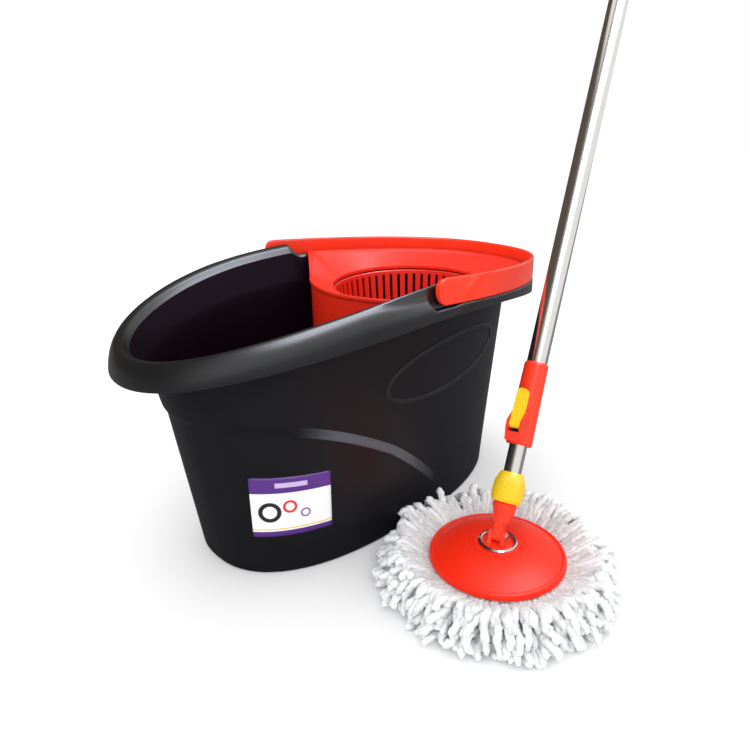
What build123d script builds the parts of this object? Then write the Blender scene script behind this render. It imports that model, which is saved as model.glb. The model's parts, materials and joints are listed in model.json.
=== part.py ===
from build123d import *
import os
from math import copysign, cos, pi, radians, sin

# Spin mop set: an oval bucket with a spinning wringer basket, and a mop with a press handle.
# Millimetres. +X runs from the pouring end to the wringer end, +Z is up, and the origin is on
# the floor below the widest point of the rim.

# ---------------------------------------------------------------- driving dimensions
# Bucket rim in plan: two half super-ellipses that meet at the widest point.
RIM_SPIN_REACH = 293.0
RIM_POUR_REACH = 222.0
RIM_HALF_WIDTH = 142.0
RIM_SPIN_FULLNESS = 2.40
RIM_POUR_FULLNESS = 2.05
# Bucket base in plan: the rim less the draft of the walls.
END_DRAFT = 61.0
SIDE_DRAFT = 43.0
BASE_CENTRE_X = 6.5
BASE_SPIN_REACH = RIM_SPIN_REACH - END_DRAFT
BASE_POUR_REACH = RIM_POUR_REACH - END_DRAFT
BASE_HALF_WIDTH = RIM_HALF_WIDTH - SIDE_DRAFT
BASE_SPIN_FULLNESS = 2.14
BASE_POUR_FULLNESS = 2.38
# The rim arches: its skirt and its crest each follow a shallow parabola along X.
SKIRT_HEIGHT = 245.5
SKIRT_CROWN_X = 35.0
SKIRT_DROP = 32.0
RIM_DEPTH = 33.0
CREST_HEIGHT = SKIRT_HEIGHT + RIM_DEPTH
CREST_CROWN_X = 64.0
CREST_DROP = 45.0
SHOULDER_DROP = 9.0
SHOULDER_LENGTH = 86.0
RIM_OVERHANG = 34.0
NECK_DROP = 10.0
WALL = 2.4
FLOOR = 3.0
BASE_ROUND = 4.0
# The step that sweeps along each side wall.
WAVE_HEIGHT = 169.0
WAVE_START_X = -180.0
WAVE_FALL = 0.00187
WAVE_DEPTH = 2.8
WAVE_BAND = 8.0
WAVE_FADE_FROM = 15.0
WAVE_FADE_TO = 75.0
# Raised oval frame on the near wall.
OVAL_X = 87.0
OVAL_Z = 179.5
OVAL_HALF_LENGTH = 95.0
OVAL_HALF_HEIGHT = 30.0
OVAL_TILT = 4.0
OVAL_BAND = 5.0
OVAL_HEIGHT = 1.0

# Carrying bail.
BAIL_PIVOT_X = 41.0
BAIL_PIVOT_BELOW_CREST = 7.5
BAIL_PIVOT_Z = CREST_HEIGHT - BAIL_PIVOT_BELOW_CREST
BAIL_HALF_HEIGHT = 13.0
BAIL_FALL = 0.0866
BAIL_INSET = 0.6
BAIL_THICKNESS = 5.2
BAIL_STUB_RADIUS = 5.0
BAIL_CORNER = 8.0
LEDGE_GAP = 0.3
LEDGE_DIP = 2.2
INNER_WALL_BELOW_BAIL = 17.0

# Wringer basket, its splash guard and its spindle.
BASKET_X = 129.0
GUARD_HOLE_RADIUS = 87.8
GUARD_HOLE_BELOW_CREST = 39.0
GUARD_HOLE_Z = CREST_HEIGHT - GUARD_HOLE_BELOW_CREST
GUARD_WALL = 2.4
GUARD_ARC_RADIUS = 114.0
GUARD_ARC_ABOVE_HOLE = 10.5
GUARD_ARC_Z = GUARD_HOLE_Z + GUARD_ARC_ABOVE_HOLE
PARTITION_DEPTH = 100.0
PARTITION_FOOT_Z = GUARD_ARC_Z - PARTITION_DEPTH
PARTITION_INSET = 20.2
PARTITION_BEHIND_ARC = 1.3
BASKET_TOP_GAP = 1.8
BASKET_TAPER = 10.0
BASKET_BELOW_HOLE = 4.5
BASKET_DEPTH = 111.0
BASKET_TOP_RADIUS = GUARD_HOLE_RADIUS - BASKET_TOP_GAP
BASKET_FLOOR_RADIUS = BASKET_TOP_RADIUS - BASKET_TAPER
BASKET_TOP_Z = GUARD_HOLE_Z - BASKET_BELOW_HOLE
BASKET_FLOOR_Z = BASKET_TOP_Z - BASKET_DEPTH
BASKET_WALL = 2.4
BASKET_FLANGE = 2.0
SLOT_COUNT = 54
SLOT_WIDTH = 3.4
SLOT_ABOVE_FLOOR = 9.0
SLOT_BELOW_TOP = 5.0
DRAIN_COUNT = 16
DRAIN_WIDTH = 5.0
HUB_WALL = 6.0
HUB_DEPTH = 10.0
PILLAR_TOP_Z = BASKET_FLOOR_Z - HUB_DEPTH - 2
PILLAR_TOP_RADIUS = 15.0
PILLAR_FOOT_RADIUS = 34.0
PILLAR_SOLID_DEPTH = 30.0
SPINDLE_RADIUS = 4.0
SPINDLE_TOP_Z = BASKET_FLOOR_Z + 10
BUSH_WALL = 3.0
BUSH_RADIUS = SPINDLE_RADIUS + BUSH_WALL
HUB_RADIUS = BUSH_RADIUS + HUB_WALL
BUSH_SNUG = 0.02
RUNNING_GAP = 0.06

# Mop head, standing on the floor in front of the bucket.
MOP_X = 29.5
MOP_Y = -220.0
DISC_RADIUS = 64.5
DISC_EDGE_Z = 27.5
DISC_CROWN_Z = 43.5
DISC_WALL = 2.4
YARN_RADIUS = 121.5
YARN_HEIGHT = 38.0
BEARING_RADIUS = 18.5
BEARING_WALL = 3.0
BEARING_HEIGHT = 4.5
STEM_RADIUS = 6.0
HINGE_Z = 50.0
HINGE_PIN_RADIUS = 2.5
EAR_GAP = 8.6
EAR_THICKNESS = 4.0
EAR_RADIUS = 5.5
EAR_SPREAD = 2.5
SCREW_RADIUS = 2.1
SCREW_HEAD_RADIUS = 5.0
REFILL_INNER_RADIUS = 48.0
REFILL_OUTER_RADIUS = 61.0
REFILL_LOW_Z = 18.0
REFILL_TOP_Z = 27.0
REFILL_NOTCHES = 6

# Mop handle: distances along it are measured up from the hinge pin.
LEAN = 32.0
LEAN_HEADING = 18.4
INNER_TUBE_RADIUS = 8.5
OUTER_TUBE_RADIUS = 10.0
TUBE_WALL = 0.6
TUBE_SNUG = 0.02
SLEEVE_SLIDE = 0.09
COLLET_WALL = 1.9
COLLET_SLITS = 4
SOCKET_NECK = 13.0
TONGUE_HALF_WIDTH = 7.5
COLLAR_START = 32.0
COLLAR_END = 61.0
COLLAR_WIDEST_RADIUS = 15.3
SLEEVE_START = 88.0
SLEEVE_END = 170.0
SLEEVE_RADIUS = 12.3
SLEEVE_MOUTH_RADIUS = 11.6
OUTER_TUBE_START = 116.0
OUTER_TUBE_END = 790.0
INNER_TUBE_START = 38.0
INNER_TUBE_END = 600.0
LEVER_PIN_UP = 106.0
LEVER_PIN_OUT = 15.5
LEVER_TIP_UP = 141.0
LEVER_WIDTH = 11.0
LEVER_THICKNESS = 5.0
LEVER_HEADING = 170.0
LEVER_PIN_RADIUS = 1.5
LEVER_SIDE_GAP = 0.3
LEVER_EAR = 2.4
CAM_RADIUS = 4.3
CAM_THROW = 0.3
PAD_IN = 6.0
PAD_HEIGHT = 14.0
ROD_WIDTH = 9.0
ROD_THICKNESS = 2.2
ROD_TURN = 100.0
ROD_START = 165.0
NUT_HEIGHT = 9.0
NUT_GAP = 0.25
CLUTCH_TEETH = 10
CLUTCH_TOOTH = 1.4
CROSS_PIN_RADIUS = 1.5
CROSS_PIN_UP = 16.0
ROD_SEAT = 12.0
GRIP_START = 640.0
GRIP_RADIUS = 14.0
GRIP_END_RADIUS = 11.4
GRIP_RIBS = 6
RIB_GROOVE = 0.9
GRIP_PITCH = 8.0
CAP_LENGTH = 38.0
HANG_EYE_RADIUS = 11.0
HANG_EYE_THICKNESS = 7.0
HANG_HOLE_RADIUS = 5.0

FROM_FOOT = (Align.CENTER, Align.CENTER, Align.MIN)

# ---------------------------------------------------------------- the bucket's outlines
TURN = [radians(step) for step in range(0, 360, 6)]
NEAR_PIVOT = [radians(step / 2) for step in range(144, 174)]
RIM_TURN = sorted(set(TURN + NEAR_PIVOT + [2 * pi - angle for angle in NEAR_PIVOT]))


def super_ellipse(spin_reach, pour_reach, half_width, spin_fullness, pour_fullness, angle):
    """Point of an outline made of two half super-ellipses that share their widest point."""
    across, along = round(sin(angle), 12), round(cos(angle), 12)
    reach, fullness = (spin_reach, spin_fullness) if along >= 0 else (pour_reach, pour_fullness)
    x = copysign(abs(along) ** (2 / fullness), along) * reach
    y = copysign(abs(across) ** (2 / fullness), across) * half_width
    return x, y


def rim_point(angle, inset):
    return super_ellipse(RIM_SPIN_REACH - inset, RIM_POUR_REACH - inset, RIM_HALF_WIDTH - inset,
                         RIM_SPIN_FULLNESS, RIM_POUR_FULLNESS, angle)


def base_point(angle, inset):
    x, y = super_ellipse(BASE_SPIN_REACH - inset, BASE_POUR_REACH - inset, BASE_HALF_WIDTH - inset,
                         BASE_SPIN_FULLNESS, BASE_POUR_FULLNESS, angle)
    return x + BASE_CENTRE_X, y


def ease(start, end, value):
    """0 before start, 1 after end, with a smooth turn between them."""
    share = min(1.0, max(0.0, (value - start) / (end - start)))
    return share * share * (3 - 2 * share)


def skirt_z(x):
    reach = RIM_POUR_REACH + SKIRT_CROWN_X
    return SKIRT_HEIGHT - SKIRT_DROP * ((x - SKIRT_CROWN_X) / reach) ** 2


def crest_z(x):
    reach = RIM_POUR_REACH + CREST_CROWN_X
    return CREST_HEIGHT - CREST_DROP * ((x - CREST_CROWN_X) / reach) ** 2


def bail_drop(x):
    return BAIL_FALL * max(0.0, x - BAIL_PIVOT_X)


def bail_top_z(x):
    return BAIL_PIVOT_Z + BAIL_HALF_HEIGHT - bail_drop(x)


def ledge_z(x):
    """Floor of the ledge that the bail lies on, with a dip where the corner of its end turns."""
    dip = LEDGE_DIP * (1 - ease(BAIL_PIVOT_X + BAIL_STUB_RADIUS, BAIL_PIVOT_X + 2 * BAIL_HALF_HEIGHT, x))
    return BAIL_PIVOT_Z - BAIL_HALF_HEIGHT - LEDGE_GAP - dip - bail_drop(x)


def inner_wall_z(x):
    """Top of the wall inside the bail, which carries the splash guard."""
    return bail_top_z(x) - INNER_WALL_BELOW_BAIL


def wave_z(x):
    along = min(WAVE_FADE_TO, max(WAVE_START_X, x)) - WAVE_START_X
    return WAVE_HEIGHT - WAVE_FALL * along ** 2


def wave_depth(x):
    return WAVE_DEPTH * (1 - ease(WAVE_FADE_FROM, WAVE_FADE_TO, x))


def wall_point(angle, z, inset):
    """Outer face of the drafted wall: straight lines from the base up to the neck below the rim."""
    share = z / (SKIRT_HEIGHT - NECK_DROP)
    base_x, base_y = base_point(angle, inset)
    neck_x, neck_y = rim_point(angle, RIM_OVERHANG + inset)
    return base_x + (neck_x - base_x) * share, base_y + (neck_y - base_y) * share


def closed_curve(point, angles):
    return Wire([Edge.make_spline([Vector(*point(angle)) for angle in angles], periodic=True)])


def wall_ring(z, inset, stepped=False):
    """Level ring on the wall; a stepped one lies back by the depth of the wave."""
    def point(angle):
        x, y = wall_point(angle, z, inset)
        if stepped:
            x, y = wall_point(angle, z, inset + wave_depth(x))
        return x, y, z
    return closed_curve(point, TURN)


def wave_ring(rise, below):
    """Ring along the wave, on the recessed wall below it or on the full wall above it."""
    def point(angle):
        x, _ = wall_point(angle, WAVE_HEIGHT, 0)
        z = wave_z(x) + rise
        return *wall_point(angle, z, wave_depth(x) if below else 0), z
    return closed_curve(point, TURN)


def skirt_ring(inset, rise):
    """Ring that follows the arched skirt of the rim."""
    def point(angle):
        x, y = rim_point(angle, inset)
        return x, y, skirt_z(x) + rise
    return closed_curve(point, RIM_TURN)


# The rolled rim turns into the ledge just behind the bail's round end, and its inner wall
# steps down further along, past the hole for the bail's stub.
LEDGE_STEP = (BAIL_PIVOT_X - BAIL_HALF_HEIGHT - 9, BAIL_PIVOT_X - BAIL_HALF_HEIGHT - 2.6)
INNER_STEP = (BAIL_PIVOT_X + BAIL_STUB_RADIUS + 4, BAIL_PIVOT_X + BAIL_STUB_RADIUS + 19)


def rim_ring(roll_inset, roll_drop, bail_inset, bail_z, step, shoulder=0.0, from_skirt=None):
    """Ring of the rim: on the rolled crest before the step, on the bail's ledge or wall after it."""
    def point(angle):
        x, _ = rim_point(angle, roll_inset)
        share = ease(*step, x)
        x, y = rim_point(angle, roll_inset + (bail_inset - roll_inset) * share)
        sink = shoulder * ease(step[1] - SHOULDER_LENGTH, step[1], x)
        roll_z = crest_z(x) - roll_drop - sink
        return x, y, roll_z * (1 - share) + bail_z(x) * share
    return closed_curve(point, RIM_TURN)


# ---------------------------------------------------------------- bucket body
def bucket_shell():
    """Moulded shell as one loft: up the outside, over the rim, and down the inside."""
    rings = [
        wall_ring(0, BASE_ROUND, stepped=True),
        wall_ring(BASE_ROUND * 0.3, BASE_ROUND * 0.3, stepped=True),
        wall_ring(BASE_ROUND, 0, stepped=True),
        wave_ring(-WAVE_BAND / 2, below=True),
        wave_ring(WAVE_BAND / 2, below=False),
        skirt_ring(RIM_OVERHANG, -NECK_DROP),
        skirt_ring(RIM_OVERHANG - 5, 2),
        rim_ring(14.5, 7, 15.5, lambda x: inner_wall_z(x) - 4, INNER_STEP),
        rim_ring(9.5, 3, 11.2, lambda x: inner_wall_z(x) - WALL, INNER_STEP),
        rim_ring(5, 5.5, 10.9, lambda x: ledge_z(x) - WALL, LEDGE_STEP, SHOULDER_DROP),
        rim_ring(3.2, 12, 2.8, lambda x: ledge_z(x) - WALL, LEDGE_STEP, SHOULDER_DROP / 2),
        skirt_ring(WALL, 0),
        skirt_ring(0.3, 0),
        skirt_ring(0, 2),
        rim_ring(0.8, 12, 0.2, lambda x: ledge_z(x) - 1, LEDGE_STEP, SHOULDER_DROP / 2),
        rim_ring(2.8, 5, 1.2, ledge_z, LEDGE_STEP, SHOULDER_DROP),
        rim_ring(6.5, 0, 7.4, ledge_z, LEDGE_STEP, SHOULDER_DROP),
        rim_ring(9.5, -0.2, 8.4, lambda x: inner_wall_z(x) - 1, INNER_STEP),
        rim_ring(12, 0.3, 9.6, inner_wall_z, INNER_STEP),
        rim_ring(16, 2.2, 16.5, inner_wall_z, INNER_STEP),
        rim_ring(18, 6, 18, lambda x: inner_wall_z(x) - 2, INNER_STEP),
        skirt_ring(RIM_OVERHANG - 5 + WALL, 1),
        skirt_ring(RIM_OVERHANG + WALL + WAVE_DEPTH, -NECK_DROP - 2),
        wall_ring(FLOOR + 5, WALL + WAVE_DEPTH),
        wall_ring(FLOOR, WALL + WAVE_DEPTH + 4),
    ]
    return Solid.make_loft(rings, ruled=True)


def cavity_blank(gap):
    """The space inside the shell, less a gap all round."""
    top = CREST_HEIGHT + 20
    inner = [
        wall_ring(FLOOR + 5, WALL + WAVE_DEPTH + gap),
        skirt_ring(RIM_OVERHANG + WALL + WAVE_DEPTH + gap, -NECK_DROP - 2),
        skirt_ring(RIM_OVERHANG - 5 + WALL + gap, 1),
        rim_ring(18 + gap, 6, 18 + gap, lambda x: inner_wall_z(x) - 2, INNER_STEP),
        closed_curve(lambda angle: (*rim_point(angle, 18 + gap), top), TURN),
    ]
    return Solid.make_loft(inner, ruled=True)


def oval_frame():
    """Bare raised oval on the near wall."""
    low, high = OVAL_Z - 2 * OVAL_HALF_HEIGHT, OVAL_Z + 2 * OVAL_HALF_HEIGHT
    skin = Solid.make_loft([wall_ring(low, -OVAL_HEIGHT), wall_ring(high, -OVAL_HEIGHT)], ruled=True)
    core = Solid.make_loft([wall_ring(low - 1, WALL / 2), wall_ring(high + 1, WALL / 2)], ruled=True)
    band = Ellipse(OVAL_HALF_LENGTH, OVAL_HALF_HEIGHT)
    band -= Ellipse(OVAL_HALF_LENGTH - OVAL_BAND, OVAL_HALF_HEIGHT - OVAL_BAND)
    face = Plane((OVAL_X, 0, OVAL_Z), x_dir=(1, 0, 0), z_dir=(0, -1, 0))
    slug = extrude(face * (Rot(0, 0, OVAL_TILT) * band), amount=RIM_HALF_WIDTH)
    return (slug & skin) - core


def make_bucket_body():
    rise = PILLAR_TOP_Z - FLOOR / 2
    pillar = Cone(PILLAR_FOOT_RADIUS, PILLAR_TOP_RADIUS, rise, align=FROM_FOOT)
    hollow_rise = PILLAR_TOP_Z - PILLAR_SOLID_DEPTH
    slope = (PILLAR_FOOT_RADIUS - PILLAR_TOP_RADIUS) / rise
    hollow_foot = PILLAR_FOOT_RADIUS - FLOOR
    hollow = Cone(hollow_foot, hollow_foot - slope * hollow_rise, hollow_rise, align=FROM_FOOT)
    bore_depth = PILLAR_SOLID_DEPTH - FLOOR
    bore = Pos(BASKET_X, 0, PILLAR_TOP_Z - bore_depth / 2) * Cylinder(SPINDLE_RADIUS, bore_depth)
    stub_bore = Cylinder(BAIL_STUB_RADIUS + RUNNING_GAP, 2 * RIM_HALF_WIDTH, rotation=(90, 0, 0))
    body = bucket_shell() + Pos(BASKET_X, 0, FLOOR / 2) * pillar - Pos(BASKET_X, 0, 0) * hollow - bore
    body -= Pos(BAIL_PIVOT_X, 0, BAIL_PIVOT_Z) * stub_bore
    return body + oval_frame()


# ---------------------------------------------------------------- splash guard
GUARD_LEAVES_WALL = 110.0
GUARD_CLEAR_OF_WALL = 118.0
GUARD_ON_ARC = 138.0
GUARD_CORNER = [radians(step) for step in range(98, 144, 3)]
GUARD_TURN = sorted(set(TURN + GUARD_CORNER + [2 * pi - angle for angle in GUARD_CORNER]))


def wall_distance(heading, inset):
    """How far the rim outline lies from the basket's axis in a direction."""
    low, high = 0.0, RIM_SPIN_REACH + RIM_POUR_REACH
    for _ in range(40):
        middle = (low + high) / 2
        x, y = BASKET_X + middle * cos(heading), middle * sin(heading)
        reach, fullness = RIM_SPIN_REACH, RIM_SPIN_FULLNESS
        if x < 0:
            reach, fullness = RIM_POUR_REACH, RIM_POUR_FULLNESS
        along, across = abs(x) / (reach - inset), abs(y) / (RIM_HALF_WIDTH - inset)
        outside = along ** fullness + across ** fullness > 1
        low, high = (low, middle) if outside else (middle, high)
    return low


def guard_plan(inset, arc_radius, angle):
    """Plan of the guard: along the bucket's inner wall, then a straight run, then the free arc."""
    off_axis = min(angle, 2 * pi - angle)
    leaves, joins = radians(GUARD_LEAVES_WALL), radians(GUARD_ON_ARC)
    if off_axis <= leaves:
        reach = wall_distance(angle, inset)
    elif off_axis >= joins:
        reach = arc_radius
    else:
        corner = wall_distance(leaves, inset)
        reach = corner * arc_radius * sin(joins - leaves) / (
            corner * sin(off_axis - leaves) + arc_radius * sin(joins - off_axis))
    fall = ease(radians(GUARD_CLEAR_OF_WALL), joins, off_axis)
    return BASKET_X + reach * cos(angle), reach * sin(angle), fall


def guard_ring(inset, wall_rise, arc_radius, arc_z):
    """Ring of the guard, set off from the top of the bucket's inner wall and from the free arc."""
    def point(angle):
        x, y, fall = guard_plan(inset, arc_radius, angle)
        return x, y, (inner_wall_z(x) + wall_rise) * (1 - fall) + arc_z * fall
    return closed_curve(point, GUARD_TURN)


def partition_cup():
    """Upright wall on the guard's plan, from a floor that is cut off later to the middle of the lip."""
    def foot(inset, arc_radius, z):
        return closed_curve(lambda angle: (*guard_plan(inset, arc_radius, angle)[:2], z), GUARD_TURN)
    outer_inset, outer_radius = PARTITION_INSET, GUARD_ARC_RADIUS - PARTITION_BEHIND_ARC
    inner_inset, inner_radius = outer_inset + GUARD_WALL, outer_radius - GUARD_WALL
    return Solid.make_loft([
        foot(outer_inset, outer_radius, PARTITION_FOOT_Z - 10),
        guard_ring(outer_inset, -1, outer_radius, GUARD_ARC_Z - 2.5),
        guard_ring(inner_inset, -1.5, inner_radius, GUARD_ARC_Z - 3),
        foot(inner_inset, inner_radius, PARTITION_FOOT_Z - 5),
    ], ruled=True)


def hole_ring(radius, z):
    return closed_curve(lambda angle: (BASKET_X + radius * cos(angle), radius * sin(angle), z), GUARD_TURN)


def make_splash_guard():
    lip_low, lip_high = LEDGE_GAP + 0.1, GUARD_WALL + LEDGE_GAP
    rings = [
        hole_ring(GUARD_HOLE_RADIUS - 2, GUARD_HOLE_Z - 3),
        hole_ring(GUARD_HOLE_RADIUS + 3, GUARD_HOLE_Z - 3),
        guard_ring(23.5, -5, GUARD_ARC_RADIUS - 3, GUARD_ARC_Z - 5),
        guard_ring(19.4, -2.5, GUARD_ARC_RADIUS - 0.4, GUARD_ARC_Z - 4.5),
        guard_ring(17.6, lip_low, GUARD_ARC_RADIUS, GUARD_ARC_Z - 4),
        guard_ring(10, lip_low, GUARD_ARC_RADIUS + 0.4, GUARD_ARC_Z - 3),
        guard_ring(10, lip_high - 0.7, GUARD_ARC_RADIUS + 0.4, GUARD_ARC_Z - 1),
        guard_ring(10.8, lip_high, GUARD_ARC_RADIUS - 0.2, GUARD_ARC_Z),
        guard_ring(20, lip_high - 0.3, GUARD_ARC_RADIUS - 2.2, GUARD_ARC_Z),
        guard_ring(23, 0, GUARD_ARC_RADIUS - 3.6, GUARD_ARC_Z - 1.6),
        hole_ring(GUARD_HOLE_RADIUS + 1.4, GUARD_HOLE_Z + 1),
        hole_ring(GUARD_HOLE_RADIUS - 2, GUARD_HOLE_Z - 0.5),
    ]
    funnel = Solid.make_loft(rings, ruled=True)
    funnel -= Pos(BASKET_X, 0, GUARD_HOLE_Z) * Cylinder(GUARD_HOLE_RADIUS, 20)
    leaves = radians(GUARD_LEAVES_WALL)
    corner_x = BASKET_X + wall_distance(leaves, 18) * cos(leaves)
    side = 3 * GUARD_ARC_RADIUS
    free_side = Box(side, side, side, align=(Align.MAX, Align.CENTER, Align.MIN))
    free_side = Pos(corner_x, 0, PARTITION_FOOT_Z) * free_side
    partition = (partition_cup() & free_side) & cavity_blank(LEDGE_GAP)
    return funnel + partition


# ---------------------------------------------------------------- basket and its bearing
def radial_cutter(near, far, width, low, high):
    """Block whose sides both pass through the axis, so that it cuts a cone along straight lines."""
    flare = width / (near + far)
    plan = make_face(Polyline(
        (near, -near * flare), (far, -far * flare), (far, far * flare), (near, near * flare), close=True))
    return Pos(0, 0, low) * extrude(plan, amount=high - low)


def make_spin_basket():
    """Slotted cup with a flange, a drained floor and a hub below it."""
    slope = (BASKET_TOP_RADIUS - BASKET_FLOOR_RADIUS) / (BASKET_TOP_Z - BASKET_FLOOR_Z)
    hub_z = BASKET_FLOOR_Z - HUB_DEPTH
    boss_z = BASKET_FLOOR_Z + 8
    bore = BUSH_RADIUS + BUSH_SNUG
    outer_floor = BASKET_FLOOR_RADIUS + BASKET_WALL
    outer_top = BASKET_TOP_RADIUS + BASKET_WALL
    flange = outer_top + BASKET_FLANGE - 1
    section = Polyline(
        (bore, hub_z), (HUB_RADIUS, hub_z), (HUB_RADIUS, BASKET_FLOOR_Z), (outer_floor - 3, BASKET_FLOOR_Z),
        (outer_floor, BASKET_FLOOR_Z + 3), (outer_top - slope * 3, BASKET_TOP_Z - 3),
        (flange, BASKET_TOP_Z - 3), (flange, BASKET_TOP_Z - 0.6), (flange - 0.6, BASKET_TOP_Z),
        (BASKET_TOP_RADIUS + 0.8, BASKET_TOP_Z),
        (BASKET_TOP_RADIUS - slope, BASKET_TOP_Z - 1), (BASKET_FLOOR_RADIUS + 0.3, BASKET_FLOOR_Z + 5),
        (BASKET_FLOOR_RADIUS - 3, BASKET_FLOOR_Z + 3), (HUB_RADIUS, BASKET_FLOOR_Z + 3), (HUB_RADIUS, boss_z),
        (bore, boss_z), close=True)
    cup = revolve(Plane.XZ * make_face(section), Axis.Z)
    slot = radial_cutter(BASKET_FLOOR_RADIUS - 10, outer_top + 10, SLOT_WIDTH,
                         BASKET_FLOOR_Z + SLOT_ABOVE_FLOOR, BASKET_TOP_Z - SLOT_BELOW_TOP)
    drain = radial_cutter(HUB_RADIUS + 10, BASKET_FLOOR_RADIUS - 8, DRAIN_WIDTH,
                          BASKET_FLOOR_Z - 5, BASKET_FLOOR_Z + 5)
    cup -= [Rot(0, 0, 360 * index / SLOT_COUNT) * slot for index in range(SLOT_COUNT)]
    cup -= [Rot(0, 0, 360 * index / DRAIN_COUNT) * drain for index in range(DRAIN_COUNT)]
    return Pos(BASKET_X, 0, 0) * cup


def ring_solid(inner_radius, outer_radius, low, high):
    height = high - low
    return Pos(0, 0, low + height / 2) * (Cylinder(outer_radius, height) - Cylinder(inner_radius, height))


def make_spindle():
    depth = PILLAR_SOLID_DEPTH - FLOOR
    length = SPINDLE_TOP_Z - PILLAR_TOP_Z + depth
    pin = Pos(0, 0, SPINDLE_TOP_Z - length / 2) * Cylinder(SPINDLE_RADIUS, length)
    pin = chamfer(pin.edges().group_by(Axis.Z)[-1], 0.8)
    return Pos(BASKET_X, 0, 0) * pin


def make_spindle_bush():
    hub_z = BASKET_FLOOR_Z - HUB_DEPTH
    bore = SPINDLE_RADIUS + RUNNING_GAP
    bush = ring_solid(bore, BUSH_RADIUS, hub_z, BASKET_FLOOR_Z + 8)
    return Pos(BASKET_X, 0, 0) * bush


def make_thrust_washer():
    washer = ring_solid(SPINDLE_RADIUS + RUNNING_GAP, HUB_RADIUS - 2, PILLAR_TOP_Z,
                        BASKET_FLOOR_Z - HUB_DEPTH - 0.2)
    return Pos(BASKET_X, 0, 0) * washer


def make_hub_cap():
    """Domed cap snapped over the hub, which keeps yarn off the spindle."""
    low, top = BASKET_FLOOR_Z + 3.2, BASKET_FLOOR_Z + 14
    inner, outer = HUB_RADIUS + 0.05, HUB_RADIUS + 1.8
    lid = top - 2
    profile = make_face(Polyline(
        (0, lid), (inner, lid), (inner, low), (outer + 1.2, low), (outer, lid - 1), (outer - 3, top),
        (0, top + 1), close=True))
    return Pos(BASKET_X, 0, 0) * revolve(Plane.XZ * profile, Axis.Z)


# ---------------------------------------------------------------- bail
def make_bail_handle():
    """Flat band that follows the rim round the wringer end, with a stub at each round end."""
    low, high = BAIL_PIVOT_Z - 80, BAIL_PIVOT_Z + 30
    def plan(inset):
        return make_face(closed_curve(lambda angle: (*rim_point(angle, inset), low), RIM_TURN))
    band = plan(BAIL_INSET) - plan(BAIL_INSET + BAIL_THICKNESS)
    band = extrude(band, amount=high - low)
    end_x = RIM_SPIN_REACH + 10
    half, fall = BAIL_HALF_HEIGHT, BAIL_FALL * (end_x - BAIL_PIVOT_X)
    side = make_face(Polyline((0, half), (end_x - BAIL_PIVOT_X, half - fall),
                              (end_x - BAIL_PIVOT_X, -half - fall), (0, -half), close=True))
    side += Circle(half)
    side += Pos(BAIL_CORNER - half, half - BAIL_CORNER) * Circle(BAIL_CORNER)
    square = half - BAIL_CORNER
    side += Pos(-square / 2, half - BAIL_CORNER / 2) * Rectangle(square, BAIL_CORNER)
    side += Pos(-half / 2, square / 2) * Rectangle(half, square)
    face = Plane((BAIL_PIVOT_X, 0, BAIL_PIVOT_Z), x_dir=(1, 0, 0), z_dir=(0, -1, 0))
    bail = band & extrude(face * side, amount=RIM_HALF_WIDTH + 10, both=True)
    _, arm_y = rim_point(pi / 2, BAIL_INSET + BAIL_THICKNESS / 2)
    _, tip_y = rim_point(pi / 2, 19)
    length = arm_y - tip_y
    stub = Cylinder(BAIL_STUB_RADIUS, length, rotation=(90, 0, 0))
    for way in (-1, 1):
        bail += Pos(BAIL_PIVOT_X, way * (tip_y + length / 2), BAIL_PIVOT_Z) * stub
    return bail


# ---------------------------------------------------------------- mop head
def at_mop(shape):
    return Pos(MOP_X, MOP_Y, 0) * shape


def turned(*points):
    """Solid of revolution about Z from a closed section of (radius, height) points."""
    return revolve(Plane.XZ * make_face(Polyline(*points, close=True)), Axis.Z)


SEAT_Z = DISC_CROWN_Z - 2.5
HUB_FOOT_Z = 24.0
WASHER_THICKNESS = 1.6


def make_disc_plate():
    """Domed plate with a seat for the bearing ring and a hub for the swivel stem."""
    dome = Spline((DISC_RADIUS, DISC_EDGE_Z + 3), (DISC_RADIUS - 12, DISC_EDGE_Z + 9),
                  (DISC_RADIUS * 0.55, DISC_CROWN_Z - 1.6), (BEARING_RADIUS + 2, DISC_CROWN_Z))
    under = Spline((BEARING_RADIUS, SEAT_Z - DISC_WALL),
                   (DISC_RADIUS * 0.55, DISC_CROWN_Z - 1.6 - DISC_WALL),
                   (DISC_RADIUS - 13, DISC_EDGE_Z + 9 - DISC_WALL),
                   (DISC_RADIUS - DISC_WALL, DISC_EDGE_Z + 2))
    seat = BEARING_RADIUS + 0.05
    bore = STEM_RADIUS + RUNNING_GAP
    inside = Polyline((BEARING_RADIUS + 2, DISC_CROWN_Z), (seat, DISC_CROWN_Z - 0.6), (seat, SEAT_Z),
                      (bore, SEAT_Z), (bore, HUB_FOOT_Z), (STEM_RADIUS + 5, HUB_FOOT_Z),
                      (STEM_RADIUS + 5, SEAT_Z - DISC_WALL), (BEARING_RADIUS, SEAT_Z - DISC_WALL))
    edge = Polyline((DISC_RADIUS - DISC_WALL, DISC_EDGE_Z + 2), (DISC_RADIUS - DISC_WALL, DISC_EDGE_Z),
                    (DISC_RADIUS + 0.6, DISC_EDGE_Z), (DISC_RADIUS + 0.6, DISC_EDGE_Z + 2),
                    (DISC_RADIUS, DISC_EDGE_Z + 3))
    section = make_face(Wire([*dome.edges(), *inside.edges(), *under.edges(), *edge.edges()]))
    plate = revolve(Plane.XZ * section, Axis.Z)
    for radius in (BEARING_RADIUS + 5, BEARING_RADIUS + 8):
        plate -= turned((radius - 0.7, DISC_CROWN_Z + 1), (radius, DISC_CROWN_Z - 0.9),
                        (radius + 0.7, DISC_CROWN_Z + 1))
    return at_mop(plate)


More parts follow.
